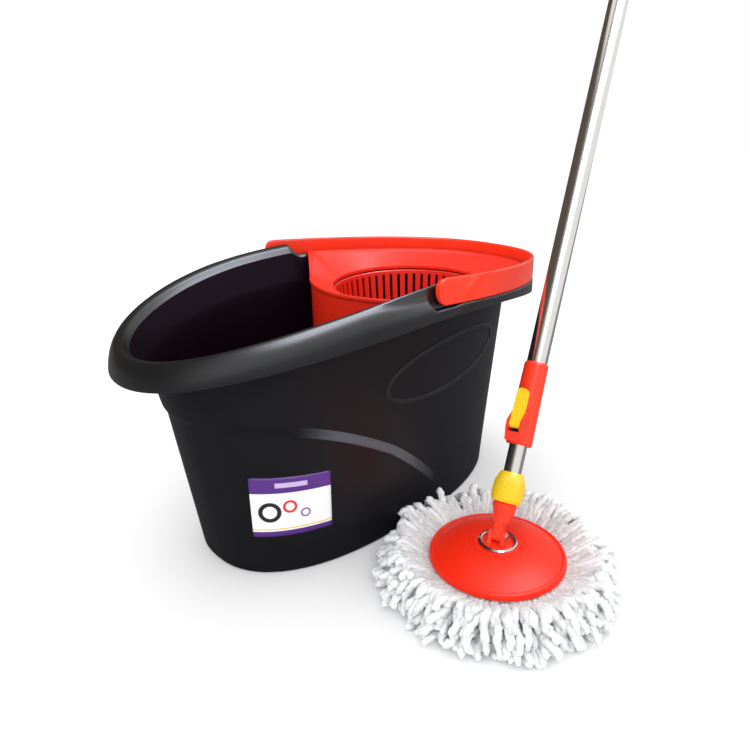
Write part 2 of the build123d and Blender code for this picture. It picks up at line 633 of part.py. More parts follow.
def make_bearing_ring():
    inner, outer = BEARING_RADIUS - BEARING_WALL, BEARING_RADIUS
    low, high = SEAT_Z, SEAT_Z + BEARING_HEIGHT
    return at_mop(turned((inner, low), (outer, low), (outer, high - 1), (outer - 1, high),
                         (inner + 0.8, high), (inner, high - 0.8)))


def make_refill_ring():
    """Snap ring that carries the yarn under the plate."""
    inner, outer, low, top = REFILL_INNER_RADIUS, REFILL_OUTER_RADIUS, REFILL_LOW_Z, REFILL_TOP_Z
    ring = turned((inner, low), (outer, low), (outer, top - 3), (outer - 3, top), (inner + 2, top),
                  (inner, top - 3))
    notch = Pos(outer, 0, top - 1) * Box(6, 8, 3)
    ring -= [Rot(0, 0, 360 * index / REFILL_NOTCHES) * notch for index in range(REFILL_NOTCHES)]
    return at_mop(ring)


def make_yarn():
    """The skirt of yarn as one soft form, flat where it lies on the floor."""
    edge = YARN_RADIUS
    outline = Spline((edge - 3, 0), (edge, 7), (edge - 12, 22), (edge - 34, YARN_HEIGHT - 3),
                     (edge - 50, YARN_HEIGHT), (DISC_RADIUS + 2, YARN_HEIGHT - 11))
    rest = Polyline((DISC_RADIUS + 2, YARN_HEIGHT - 11), (DISC_RADIUS - 3.2, YARN_HEIGHT - 12),
                    (DISC_RADIUS - 3.2, 17.6), (26, 17.6), (26, 0), (edge - 3, 0))
    section = make_face(Wire([*outline.edges(), *rest.edges()]))
    return at_mop(revolve(Plane.XZ * section, Axis.Z))


def make_yoke():
    """Swivel base with two ears for the hinge pin and a stem down through the plate."""
    top = SEAT_Z + BEARING_HEIGHT - 2.2
    rim = BEARING_RADIUS - BEARING_WALL - RUNNING_GAP
    base = turned((0, HUB_FOOT_Z + 0.2), (STEM_RADIUS, HUB_FOOT_Z + 0.2), (STEM_RADIUS, SEAT_Z + 0.3),
                  (rim, SEAT_Z + 0.3), (rim, top - 1), (rim - 2, top), (0, top))
    rise = HINGE_Z - top
    foot = EAR_RADIUS + EAR_SPREAD
    profile = make_face(Polyline((-foot, -0.4), (foot, -0.4), (EAR_RADIUS, rise), (-EAR_RADIUS, rise),
                                 close=True))
    profile += Pos(0, rise) * Circle(EAR_RADIUS)
    profile -= Pos(0, rise) * Circle(HINGE_PIN_RADIUS)
    middle = EAR_GAP / 2 + EAR_THICKNESS / 2
    for way in (-1, 1):
        face = Plane((0, way * middle, top), x_dir=(1, 0, 0), z_dir=(0, -1, 0))
        base += extrude(face * profile, amount=EAR_THICKNESS / 2, both=True)
    base -= Pos(0, 0, HUB_FOOT_Z) * Cylinder(SCREW_RADIUS, 24)
    return at_mop(Rot(0, 0, LEAN_HEADING) * base)


def make_retaining_washer():
    low, high = HUB_FOOT_Z - WASHER_THICKNESS, HUB_FOOT_Z - 0.1
    return at_mop(ring_solid(SCREW_RADIUS + 0.5, STEM_RADIUS + 4, low, high))


def make_swivel_screw():
    under_head = HUB_FOOT_Z - WASHER_THICKNESS
    head = ring_solid(1.6, SCREW_HEAD_RADIUS, under_head - 3.2, under_head)
    head += Pos(0, 0, under_head - 0.8) * Cylinder(2, 1.6)
    shank = Pos(0, 0, HUB_FOOT_Z + 4) * Cylinder(SCREW_RADIUS, 12)
    return at_mop(head + shank)


def make_hinge_pin():
    length = EAR_GAP + 2 * EAR_THICKNESS + 1
    pin = Cylinder(HINGE_PIN_RADIUS, length)
    pin += Pos(0, 0, length / 2) * Cylinder(HINGE_PIN_RADIUS + 1.2, 1)
    pin += Pos(0, 0, -length / 2) * Cylinder(HINGE_PIN_RADIUS + 0.8, 1)
    return at_mop(Pos(0, 0, HINGE_Z) * Rot(0, 0, LEAN_HEADING) * Rot(90, 0, 0) * pin)


# ---------------------------------------------------------------- mop handle
# Handle pieces are drawn upright from the hinge pin, with the pin along Y, and leant as one.
HANDLE = Pos(MOP_X, MOP_Y, HINGE_Z) * Rot(0, 0, LEAN_HEADING) * Rot(0, LEAN, 0)
LOCK_SIDE = Rot(0, 0, LEVER_HEADING)
FROM_INSIDE = (Align.MIN, Align.CENTER, Align.CENTER)


def make_tilt_socket():
    """Tongue on the hinge pin, flaring into a socket with a split collet for the inner tube."""
    tongue_half = (EAR_GAP - 0.6) / 2
    face = Plane((0, 0, 0), x_dir=(1, 0, 0), z_dir=(0, -1, 0))
    wide, up = TONGUE_HALF_WIDTH, SOCKET_NECK + 3
    blade = make_face(Polyline((-EAR_RADIUS, 0), (EAR_RADIUS, 0), (wide, up), (-wide, up), close=True))
    blade += Circle(EAR_RADIUS)
    blade -= Circle(HINGE_PIN_RADIUS + RUNNING_GAP)
    tongue = extrude(face * blade, amount=tongue_half, both=True)
    step = COLLAR_START - 2
    spigot = INNER_TUBE_RADIUS - TUBE_WALL - 0.1
    collet_in, collet_out = INNER_TUBE_RADIUS + 0.05, INNER_TUBE_RADIUS + COLLET_WALL
    collet_top, spigot_top = COLLAR_END - 5, INNER_TUBE_START + 22
    socket = turned((0, SOCKET_NECK), (TONGUE_HALF_WIDTH + 0.3, SOCKET_NECK), (11.6, step - 3), (12, step),
                    (collet_out, step + 1), (collet_out, collet_top), (collet_in, collet_top),
                    (collet_in, INNER_TUBE_START), (spigot, INNER_TUBE_START), (spigot, spigot_top),
                    (0, spigot_top))
    slit = Box(3.2, 1.4, COLLAR_END - INNER_TUBE_START, align=FROM_FOOT)
    slit = Rot(0, 0, 45) * Pos(INNER_TUBE_RADIUS + 1, 0, INNER_TUBE_START + 4) * slit
    socket -= [Rot(0, 0, 360 * index / COLLET_SLITS) * slit for index in range(COLLET_SLITS)]
    return HANDLE * (tongue + socket)


def make_collar_nut():
    """Barrel nut that closes the collet on the inner tube."""
    bore = INNER_TUBE_RADIUS + COLLET_WALL + RUNNING_GAP
    mouth = INNER_TUBE_RADIUS + 0.3
    low, high = COLLAR_START, COLLAR_END
    nut = turned((bore, low), (12.6, low), (14.6, low + 3), (COLLAR_WIDEST_RADIUS, low + 9),
                 (14.4, high - 9), (11.4, high - 1.5), (10.4, high), (mouth, high), (mouth, high - 4),
                 (bore, high - 4.5))
    return HANDLE * nut


def make_inner_tube():
    bore = INNER_TUBE_RADIUS - TUBE_WALL
    return HANDLE * ring_solid(bore, INNER_TUBE_RADIUS, INNER_TUBE_START, INNER_TUBE_END)


NUT_START = INNER_TUBE_END - 14.0
CUP_START = NUT_START - 16.0


def crown_teeth(outer, inner, height, count):
    """Ratchet teeth: a ring of ramps, each with one upright face."""
    half = pi * outer / count
    ramp = make_face(Polyline((-half, 0), (half - 0.2, 0), (half - 0.2, height), close=True))
    face = Plane((inner, 0, 0), x_dir=(0, 1, 0), z_dir=(1, 0, 0))
    tooth = extrude(face * ramp, amount=outer - inner)
    return [Rot(0, 0, 360 * index / count) * tooth for index in range(count)]


def make_clutch_cup():
    """Fixed half of the one-way clutch, pressed into the top of the inner tube."""
    outer = INNER_TUBE_RADIUS - TUBE_WALL
    cup = ring_solid(5.4, outer, CUP_START, NUT_START - 2)
    teeth = crown_teeth(outer - 0.7, 5.6, CLUTCH_TOOTH, CLUTCH_TEETH)
    ring = [Pos(0, 0, NUT_START - 2) * tooth for tooth in teeth]
    return HANDLE * (cup + ring)


def rod_section(gap):
    return Rectangle(ROD_WIDTH + 2 * gap, ROD_THICKNESS + 2 * gap)


def twisted_bar(low, high, gap):
    """Flat bar twisted about Z so that every bar made here shares one helix."""
    turn = 360 / ROD_TURN
    face = (Pos(0, 0, low) * Rot(0, 0, low * turn) * rod_section(gap)).face()
    return Solid.extrude_linear_with_rotation(face, (0, 0, low), (0, 0, high - low), (high - low) * turn)


def make_drive_nut():
    """Turning half of the clutch: its twisted slot rides on the drive rod."""
    outer = INNER_TUBE_RADIUS - TUBE_WALL - 0.3
    nut = Pos(0, 0, NUT_START) * Cylinder(outer, NUT_HEIGHT, align=FROM_FOOT)
    nut -= twisted_bar(NUT_START - 1, NUT_START + NUT_HEIGHT + 1, NUT_GAP)
    return HANDLE * nut


def make_guide_bush():
    """Plastic bush on the inner tube's top: it guides the outer tube and keeps the nut in."""
    inner, outer = INNER_TUBE_RADIUS + TUBE_SNUG, OUTER_TUBE_RADIUS - TUBE_WALL - 0.1
    low, top = INNER_TUBE_END - 18, INNER_TUBE_END + 3
    mouth = ROD_WIDTH / 2 + 0.9
    return HANDLE * turned((inner, low), (outer, low), (outer, top - 0.6), (outer - 0.6, top),
                           (mouth, top), (mouth, INNER_TUBE_END), (inner, INNER_TUBE_END))


def make_outer_tube():
    bore = OUTER_TUBE_RADIUS - TUBE_WALL
    return HANDLE * ring_solid(bore, OUTER_TUBE_RADIUS, OUTER_TUBE_START, OUTER_TUBE_END)


PLUG_START = 765.0
PLUG_END = 785.0


def make_drive_rod():
    return HANDLE * twisted_bar(ROD_START, PLUG_START + ROD_SEAT, 0)


def make_rod_plug():
    """Plug in the outer tube's top that holds the drive rod."""
    outer = OUTER_TUBE_RADIUS - TUBE_WALL
    plug = Pos(0, 0, PLUG_START) * Cylinder(outer, PLUG_END - PLUG_START, align=FROM_FOOT)
    plug -= twisted_bar(PLUG_START - 1, PLUG_START + ROD_SEAT, 0)
    plug -= Pos(0, 0, PLUG_START + CROSS_PIN_UP) * Rot(90, 0, 0) * Cylinder(CROSS_PIN_RADIUS, 4 * outer)
    return HANDLE * plug


def make_cross_pin():
    length = 2 * (OUTER_TUBE_RADIUS - TUBE_WALL) - 0.6
    pin = Rot(90, 0, 0) * Cylinder(CROSS_PIN_RADIUS, length)
    return HANDLE * Pos(0, 0, PLUG_START + CROSS_PIN_UP) * pin


def make_lock_sleeve():
    """Sleeve on the foot of the outer tube, with the ears of the lock lever."""
    snug, slide = OUTER_TUBE_RADIUS + TUBE_SNUG, INNER_TUBE_RADIUS + SLEEVE_SLIDE
    mouth = SLEEVE_MOUTH_RADIUS
    sleeve = turned((slide, SLEEVE_START), (mouth, SLEEVE_START), (mouth + 1, SLEEVE_START + 2),
                    (SLEEVE_RADIUS, SLEEVE_START + 30), (SLEEVE_RADIUS - 0.6, SLEEVE_END - 2),
                    (SLEEVE_RADIUS - 1.4, SLEEVE_END), (snug, SLEEVE_END), (snug, OUTER_TUBE_START),
                    (slide, OUTER_TUBE_START))
    half = LEVER_WIDTH / 2 + LEVER_SIDE_GAP
    low, high = SLEEVE_START + 2, LEVER_PIN_UP + 8
    ear_out = LEVER_PIN_OUT + 5
    ear_face = make_face(Polyline((9, low), (LEVER_PIN_OUT + 1, low), (ear_out, LEVER_PIN_UP - 4),
                                  (ear_out, LEVER_PIN_UP + 3), (11, high + 8), (9, high), close=True))
    plane = Plane((0, 0, 0), x_dir=(1, 0, 0), z_dir=(0, -1, 0))
    ears = extrude(plane * ear_face, amount=half + LEVER_EAR, both=True)
    bore = Pos(0, 0, SLEEVE_START - 5) * Cylinder(slide, OUTER_TUBE_START - SLEEVE_START + 5, align=FROM_FOOT)
    bore += Pos(0, 0, OUTER_TUBE_START) * Cylinder(snug, SLEEVE_END - OUTER_TUBE_START, align=FROM_FOOT)
    behind_lever = LEVER_PIN_OUT - LEVER_THICKNESS / 2 - LEVER_SIDE_GAP
    bed = Box(10, 2 * half, LEVER_TIP_UP - LEVER_PIN_UP + 2, align=(Align.MIN, Align.CENTER, Align.MIN))
    bed = Pos(behind_lever, 0, LEVER_PIN_UP) * bed
    window = Box(30, 2 * half, PAD_HEIGHT + 1, align=FROM_INSIDE)
    window = Pos(PAD_IN - 0.1, 0, LEVER_PIN_UP) * window
    pin_bore = Pos(LEVER_PIN_OUT, 0, LEVER_PIN_UP) * Rot(90, 0, 0) * Cylinder(LEVER_PIN_RADIUS, 40)
    body = sleeve + (ears - bore)
    body -= [window, bed, pin_bore]
    return HANDLE * LOCK_SIDE * body


def make_lock_lever():
    """Thumb lever whose round foot is the cam that presses the pad on the inner tube."""
    half = LEVER_THICKNESS / 2
    plane = Plane((LEVER_PIN_OUT, 0, LEVER_PIN_UP), x_dir=(1, 0, 0), z_dir=(0, -1, 0))
    length = LEVER_TIP_UP - LEVER_PIN_UP
    side = make_face(Polyline((-half, 0), (half + 1, 0), (half + 1, 10), (half - 0.4, length - 4),
                              (half + 0.8, length), (-half, length), close=True))
    side += Pos(-CAM_THROW, CAM_THROW) * Circle(CAM_RADIUS)
    side -= Circle(LEVER_PIN_RADIUS + RUNNING_GAP)
    lever = extrude(plane * side, amount=LEVER_WIDTH / 2, both=True)
    tip = lever.edges().filter_by(Axis.X).group_by(Axis.Z)[-1]
    lever = fillet(tip, LEVER_WIDTH / 2 - 1)
    return HANDLE * LOCK_SIDE * lever


def make_lever_pin():
    length = LEVER_WIDTH + 2 * (LEVER_SIDE_GAP + LEVER_EAR)
    pin = Rot(90, 0, 0) * Cylinder(LEVER_PIN_RADIUS, length)
    return HANDLE * LOCK_SIDE * Pos(LEVER_PIN_OUT, 0, LEVER_PIN_UP) * pin


def make_lock_pad():
    """Brake pad in the sleeve's window, hollowed to the inner tube."""
    out = LEVER_PIN_OUT - CAM_RADIUS - CAM_THROW - 0.1
    pad = Pos(PAD_IN, 0, 0) * Box(out - PAD_IN, LEVER_WIDTH, PAD_HEIGHT, align=FROM_INSIDE)
    pad -= Cylinder(INNER_TUBE_RADIUS + SLEEVE_SLIDE, 2 * PAD_HEIGHT)
    return HANDLE * LOCK_SIDE * Pos(0, 0, LEVER_PIN_UP) * pad


def make_grip():
    """Ribbed sleeve for the upper hand."""
    snug, end = OUTER_TUBE_RADIUS + TUBE_SNUG, GRIP_END_RADIUS
    low, high = GRIP_START, OUTER_TUBE_END - 8
    ribs = []
    for index in range(GRIP_RIBS):
        foot = low + 30 + GRIP_PITCH * index
        ribs += [(GRIP_RADIUS, foot), (GRIP_RADIUS, foot + GRIP_PITCH - 2.4),
                 (GRIP_RADIUS - RIB_GROOVE, foot + GRIP_PITCH - 1.2)]
    grip = turned((snug, low), (end, low), (end + 1.2, low + 6), *ribs, (GRIP_RADIUS, high - 40),
                  (end + 1.6, high - 14), (GRIP_RADIUS + 1, high - 2), (end + 2, high), (snug, high))
    return HANDLE * grip


def make_hang_cap():
    """End cap with a flat eye to hang the mop by."""
    end = OUTER_TUBE_END
    inside = OUTER_TUBE_RADIUS - TUBE_WALL - TUBE_SNUG
    cap = turned((0, PLUG_END + 0.3), (inside, PLUG_END + 0.3), (inside, end + 0.05), (12.4, end + 0.05),
                 (13.2, end + 1.5), (12.6, end + 6), (8, end + 13), (0, end + 14))
    eye_up, wide = end + CAP_LENGTH - 13, HANG_EYE_RADIUS
    plane = Plane((0, 0, 0), x_dir=(1, 0, 0), z_dir=(0, -1, 0))
    eye = make_face(Polyline((1 - wide, end + 4), (wide - 1, end + 4), (wide, eye_up), (-wide, eye_up),
                             close=True))
    eye += Pos(0, eye_up) * Circle(wide)
    cap += extrude(plane * eye, amount=HANG_EYE_THICKNESS / 2, both=True)
    cap -= Pos(0, 0, eye_up) * Rot(90, 0, 0) * Cylinder(HANG_HOLE_RADIUS, 40)
    return HANDLE * cap


# ---------------------------------------------------------------- write the nodes
NODES = {
    "bucket_body": make_bucket_body,
    "splash_guard": make_splash_guard,
    "spin_basket": make_spin_basket,
    "spindle": make_spindle,
    "spindle_bush": make_spindle_bush,
    "thrust_washer": make_thrust_washer,
    "hub_cap": make_hub_cap,
    "bail_handle": make_bail_handle,
    "disc_plate": make_disc_plate,
    "bearing_ring": make_bearing_ring,
    "refill_ring": make_refill_ring,
    "yarn": make_yarn,
    "yoke": make_yoke,
    "retaining_washer": make_retaining_washer,
    "swivel_screw": make_swivel_screw,
    "hinge_pin": make_hinge_pin,
    "tilt_socket": make_tilt_socket,
    "collar_nut": make_collar_nut,
    "inner_tube": make_inner_tube,
    "clutch_cup": make_clutch_cup,
    "drive_nut": make_drive_nut,
    "guide_bush": make_guide_bush,
    "outer_tube": make_outer_tube,
    "drive_rod": make_drive_rod,
    "rod_plug": make_rod_plug,
    "cross_pin": make_cross_pin,
    "lock_sleeve": make_lock_sleeve,
    "lock_lever": make_lock_lever,
    "lever_pin": make_lever_pin,
    "lock_pad": make_lock_pad,
    "grip": make_grip,
    "hang_cap": make_hang_cap,
}

os.makedirs("parts", exist_ok=True)
for node, make in NODES.items():
    export_step(make(), f"parts/{node}.step")
    print(node)
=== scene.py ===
# %% [markdown]
# # A spin mop and its bucket
# The imported CAD part is the fixed frame: it gives every size and place, and its bodies carry what
# is made here. These cells add what its plain solids leave open: the smooth moulded bucket with its
# label, the mop's yarn, and the look of the plastics, the steel and the yarn. A studio and a camera
# come last.

# %% The frame
import json
from math import acos, copysign, cos, pi, radians, sin, tau

import bmesh
import bpy
from mathutils import Matrix, Vector
from mathutils.bvhtree import BVHTree


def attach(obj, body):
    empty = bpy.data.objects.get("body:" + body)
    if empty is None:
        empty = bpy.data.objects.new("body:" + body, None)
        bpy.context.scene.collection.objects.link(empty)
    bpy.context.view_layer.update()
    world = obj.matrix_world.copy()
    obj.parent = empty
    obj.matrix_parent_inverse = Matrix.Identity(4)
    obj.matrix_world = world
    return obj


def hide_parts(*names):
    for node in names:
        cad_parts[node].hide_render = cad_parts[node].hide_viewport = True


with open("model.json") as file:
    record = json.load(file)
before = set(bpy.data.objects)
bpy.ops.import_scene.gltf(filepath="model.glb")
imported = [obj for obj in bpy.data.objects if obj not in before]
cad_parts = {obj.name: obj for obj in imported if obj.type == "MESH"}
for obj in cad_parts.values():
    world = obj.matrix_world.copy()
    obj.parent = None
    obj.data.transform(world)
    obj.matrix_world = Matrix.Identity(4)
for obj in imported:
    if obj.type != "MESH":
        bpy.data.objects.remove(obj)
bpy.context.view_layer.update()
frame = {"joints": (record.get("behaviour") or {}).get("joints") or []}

MM = 0.001

# %% [markdown]
# The frame's joints say where the moving pieces turn and slide. The bail, the basket's pillar, the
# mop's head and the collar's grooves take their places from them.

# %% Joints of the frame
joint_axis = {joint["name"]: Vector(joint["axis"]) for joint in frame["joints"]}
joint_place = {joint["name"]: Vector(joint.get("pos_m") or (0, 0, 0)) for joint in frame["joints"]}
ALONG_HANDLE = joint_axis["handle_slide"].normalized()


def joint_mm(name):
    """A joint's place in millimetres."""
    return [round(value / MM, 3) for value in joint_place[name]]


print("the handle leans along", [round(v, 3) for v in ALONG_HANDLE])

# %% [markdown]
# ## Small tools
# Colours are written as sRGB hex and made linear in one place. A material is a chain of nodes, which
# could be drawn by hand in the node editor. Here one function adds a node with its settings and
# links and hands back its output, so that the chain reads like a sum.

# %% Colour and node helpers
MATH, VECTOR_MATH, RANGE = "ShaderNodeMath", "ShaderNodeVectorMath", "ShaderNodeMapRange"
MIX, NOISE, BUMP = "ShaderNodeMix", "ShaderNodeTexNoise", "ShaderNodeBump"
COORDINATES, MAPPING, ATTRIBUTE = "ShaderNodeTexCoord", "ShaderNodeMapping", "ShaderNodeAttribute"
SEPARATE, COMBINE = "ShaderNodeSeparateXYZ", "ShaderNodeCombineXYZ"
# A Mix node for colours: sockets 0, 6 and 7 take the share and the two colours, and 2 gives the result.
OF_COLOURS = {"out": 2, "data_type": "RGBA"}


def linear(hex_colour):
    """sRGB hex to the linear RGBA that shaders take."""
    channels = [int(hex_colour[i:i + 2], 16) / 255 for i in (1, 3, 5)]
    return [c / 12.92 if c <= 0.04045 else ((c + 0.055) / 1.055) ** 2.4 for c in channels] + [1.0]


def connect(node, inputs):
    """Feeds a node's inputs, in order or by name or number: a socket is linked, a value is set."""
    for key, value in inputs.items() if isinstance(inputs, dict) else enumerate(inputs):
        if isinstance(value, bpy.types.NodeSocket):
            node.id_data.links.new(value, node.inputs[key])
        else:
            node.inputs[key].default_value = value


def add(tree, kind, inputs=(), out=0, **settings):
    """A new node with its settings and inputs; returns the output out, or the node if out is None."""
    node = tree.nodes.new(kind)
    for key, value in settings.items():
        setattr(node, key, value)
    connect(node, inputs)
    return node if out is None else node.outputs[out]


def new_material(name):
    """A material with its tree and its shader."""
    material = bpy.data.materials.new(name)
    material.use_nodes = True
    return material, material.node_tree, material.node_tree.nodes["Principled BSDF"]


print("pure white in linear light", linear("#FFFFFF"))

# %% [markdown]
# ## Moulded polypropylene
# The bucket, the wringer and the mop's fittings are injection moulded. Moulded polypropylene has a
# fine grain from its mould that breaks up its highlights, a slow drift in gloss from handling, and a
# faint mottling in its colour. Image textures could hold these; noise in object space needs no
# unwrapping and has no seams. The mould's grain is really about 0.1 mm, too fine to show, so it is
# drawn about ten times as coarse.

# %% Moulded plastic
MOTTLE_WIDTH = 71.43 * MM
MOULD_GRAIN_STRENGTH = 0.35
POLYPROPYLENE_IOR = 1.49
COAT_ROUGHNESS = 0.08


def plastic(name, colour, shade, roughness, grain_mm, grain_height_mm, gloss_drift=0.08, coat=0.0,
            specular=0.5):
    """colour and shade are the two ends of the mottling; the grain has a width and a height."""
    material, tree, shader = new_material(name)
    place = add(tree, COORDINATES, out="Object")
    mottle = add(tree, NOISE, {"Vector": place, "Scale": 1 / MOTTLE_WIDTH, "Detail": 2.0})
    grain = add(tree, NOISE, {"Vector": place, "Scale": 1 / (grain_mm * MM), "Detail": 2.0})
    connect(shader, {
        "Base Color": add(tree, MIX, {0: mottle, 6: linear(colour), 7: linear(shade)}, **OF_COLOURS),
        "Roughness": add(tree, RANGE, {"Value": mottle, "To Min": roughness - gloss_drift,
                                       "To Max": roughness + gloss_drift}),
        "Normal": add(tree, BUMP, {"Height": grain, "Distance": grain_height_mm * MM,
                                   "Strength": MOULD_GRAIN_STRENGTH}),
        "IOR": POLYPROPYLENE_IOR, "Specular IOR Level": specular})
    if coat:
        connect(shader, {"Coat Weight": coat, "Coat Roughness": COAT_ROUGHNESS})
    return material


# A polished mould gives the guard clear highlights with soft edges.
GUARD_RED = plastic("glossy red polypropylene", "#EE2A16", "#F6321C", 0.34, grain_mm=1.2,
                    grain_height_mm=0.012, gloss_drift=0.05, specular=0.4)
# The basket's mould is plainer, so it looks a shade deeper and duller than the guard.
BASKET_RED = plastic("satin red polypropylene", "#E02317", "#EC2C1C", 0.36, grain_mm=1.2,
                     grain_height_mm=0.012, gloss_drift=0.05)
# The bail and the handle's fittings are the glossiest: a clear skin gives them a sharp glint.
HANDLE_RED = plastic("polished red polypropylene", "#F2341A", "#F83E20", 0.24, grain_mm=1.4,
                     grain_height_mm=0.008, gloss_drift=0.05, coat=0.2, specular=0.35)
# Water and floors wear the mop's plate: its highlights are broad and weak.
DISC_RED = plastic("worn red polypropylene", "#F2260C", "#FA2E10", 0.38, grain_mm=1.0,
                   grain_height_mm=0.015, gloss_drift=0.05, specular=0.2)
# What fingers hold comes from a grained mould, which makes an even, satin yellow.
yellow_finish = {"colour": "#F2C400", "shade": "#FAD200", "roughness": 0.4, "grain_mm": 0.7,
                 "grain_height_mm": 0.03, "gloss_drift": 0.06}
YELLOW = plastic("grained yellow polypropylene", **yellow_finish)
COLLAR_YELLOW = plastic("grooved yellow polypropylene", **yellow_finish)
# Undyed plastic, mostly in the bearings, is milky with a waxy gloss.
NATURAL_WHITE = plastic("natural acetal", "#E4E2DA", "#EFEEE8", 0.4, grain_mm=1.5, grain_height_mm=0.01)
# The grip is soft to the touch: nearly no highlight, and a grain that can be felt.
GRIP_GREY = plastic("soft grey elastomer", "#242529", "#2C2D31", 0.6, grain_mm=0.6, grain_height_mm=0.05)
print("plastics", [m.name for m in bpy.data.materials])

# %% [markdown]
# ## Metals and rubber
# The tubes are stainless steel, drawn through a die that leaves faint lines along them. The lines
# could be an anisotropic shader; noise is plainer to set. One Mapping node turns it to the handle and
# a second squeezes it across. Steel mostly shows what is round it, so the studio's light and dark
# sides make its highlights.

# %% Metals
MARK_WIDTH, TARNISH_WIDTH = 11.11 * MM, 111.1 * MM
LINE_SQUEEZE = 40.0
MARK_HEIGHT, MARK_STRENGTH = 0.004 * MM, 0.3
SMOOTHER, ROUGHER, BRIGHTER = 0.7, 1.35, 1.12


def metal(name, colour, roughness, lines_along=None):
    """Metal with fine marks; lines_along is the direction in which drawn lines run."""
    material, tree, shader = new_material(name)
    place = add(tree, COORDINATES, out="Object")
    marked = place
    if lines_along is not None:
        turn = lines_along.to_track_quat("Z", "Y").inverted().to_euler()
        marked = add(tree, MAPPING, {"Vector": marked, "Rotation": turn})
        marked = add(tree, MAPPING, {"Vector": marked, "Scale": (LINE_SQUEEZE, LINE_SQUEEZE, 1.0)})
    marks = add(tree, NOISE, {"Vector": marked, "Scale": 1 / MARK_WIDTH, "Detail": 4.0})
    tarnish = add(tree, NOISE, {"Vector": place, "Scale": 1 / TARNISH_WIDTH, "Detail": 2.0})
    dull = linear(colour)
    bright = [min(1.0, channel * BRIGHTER) for channel in dull]
    connect(shader, {
        "Base Color": add(tree, MIX, {0: tarnish, 6: dull, 7: bright}, **OF_COLOURS),
        "Roughness": add(tree, RANGE, {"Value": marks, "To Min": roughness * SMOOTHER,
                                       "To Max": roughness * ROUGHER}),
        "Normal": add(tree, BUMP, {"Height": marks, "Distance": MARK_HEIGHT, "Strength": MARK_STRENGTH}),
        "Metallic": 1.0})
    return material


# Bright and a little warm, with highlights drawn out along the tube.
STEEL = metal("drawn stainless steel", "#E3E0DB", 0.16, ALONG_HANDLE)
# Pins, rods and screws have a greyer, softer shine.
ZINC = metal("zinc-plated steel", "#A8A8AA", 0.3)
# The swivel's ring is close to a mirror.
CHROME = metal("chrome-plated steel", "#D8D8DA", 0.1)
print("metals", [m.name for m in (STEEL, ZINC, CHROME)])

# %% [markdown]
# The brake pad inside the handle is nitrile rubber: matt, nearly black, with no clear highlight. Its
# grain is really finer than 1 mm, and drawn at that so that it shows.

# %% Rubber
RUBBER_GRAIN_WIDTH = 1.111 * MM
RUBBER, rubber_nodes, rubber_shader = new_material("moulded nitrile rubber")
rubber_place = add(rubber_nodes, COORDINATES, out="Object")
rubber_grain = add(rubber_nodes, NOISE, {
    "Vector": rubber_place, "Scale": 1 / RUBBER_GRAIN_WIDTH, "Detail": 3.0})
connect(rubber_shader, {
    "Base Color": add(rubber_nodes, MIX, {0: rubber_grain, 6: linear("#17181A"), 7: linear("#222326")},
                      **OF_COLOURS),
    "Roughness": add(rubber_nodes, RANGE, {"Value": rubber_grain, "To Min": 0.7, "To Max": 0.9}),
    "Normal": add(rubber_nodes, BUMP, {"Height": rubber_grain, "Distance": 0.05 * MM, "Strength": 0.5})})
print("rubber", len(rubber_nodes.nodes), "nodes")

# %% [markdown]
# The yellow collar is turned by hand, so grooves run along it to give a grip. They could be cut into
# the mesh; at their depth a bump looks the same. They are waves of the angle round the handle:
# Mapping lays the handle along Z, and an arctangent gives the angle. The real grooves are finer, and
# are drawn coarser so that they show.

# %% Collar grooves
GROOVE_COUNT, GROOVE_HEIGHT, GROOVE_STRENGTH = 40, 0.35, 0.7
GROOVES_FROM, GROOVES_TO, GROOVE_FADE = -15.0, 8.0, 3.0
collar_nodes = COLLAR_YELLOW.node_tree
collar_shader = collar_nodes.nodes["Principled BSDF"]
upright_turn = ALONG_HANDLE.to_track_quat("Z", "Y").inverted()
collar_place = add(collar_nodes, MAPPING, {
    "Vector": add(collar_nodes, COORDINATES, out="Object"),
    "Location": -(upright_turn @ joint_place["collar_twist"]), "Rotation": upright_turn.to_euler()})
on_collar = add(collar_nodes, SEPARATE, (collar_place,), out=None).outputs
around_collar = add(collar_nodes, MATH, (on_collar["Y"], on_collar["X"]), operation="ARCTAN2")
waves = add(collar_nodes, MATH, (around_collar, GROOVE_COUNT), operation="MULTIPLY")
waves = add(collar_nodes, MATH, (waves,), operation="SINE")
for edge, way in ((GROOVES_FROM, 1), (GROOVES_TO, -1)):
    inside = add(collar_nodes, RANGE, {"Value": on_collar["Z"], "From Min": edge * MM,
                                       "From Max": (edge + way * GROOVE_FADE) * MM})
    waves = add(collar_nodes, MATH, (waves, inside), operation="MULTIPLY")
collar_grain = collar_shader.inputs["Normal"].links[0].from_socket
connect(collar_shader, {"Normal": add(collar_nodes, BUMP, {
    "Height": waves, "Distance": GROOVE_HEIGHT * MM, "Strength": GROOVE_STRENGTH, "Normal": collar_grain})})
print("collar", GROOVE_COUNT, "grooves")

# %% [markdown]
# ## A finish for every body of the frame
# Each CAD node keeps its shape and gets the material of the real piece. The bucket, the bail and the
# yarn aren't in the list, because they are made again below.

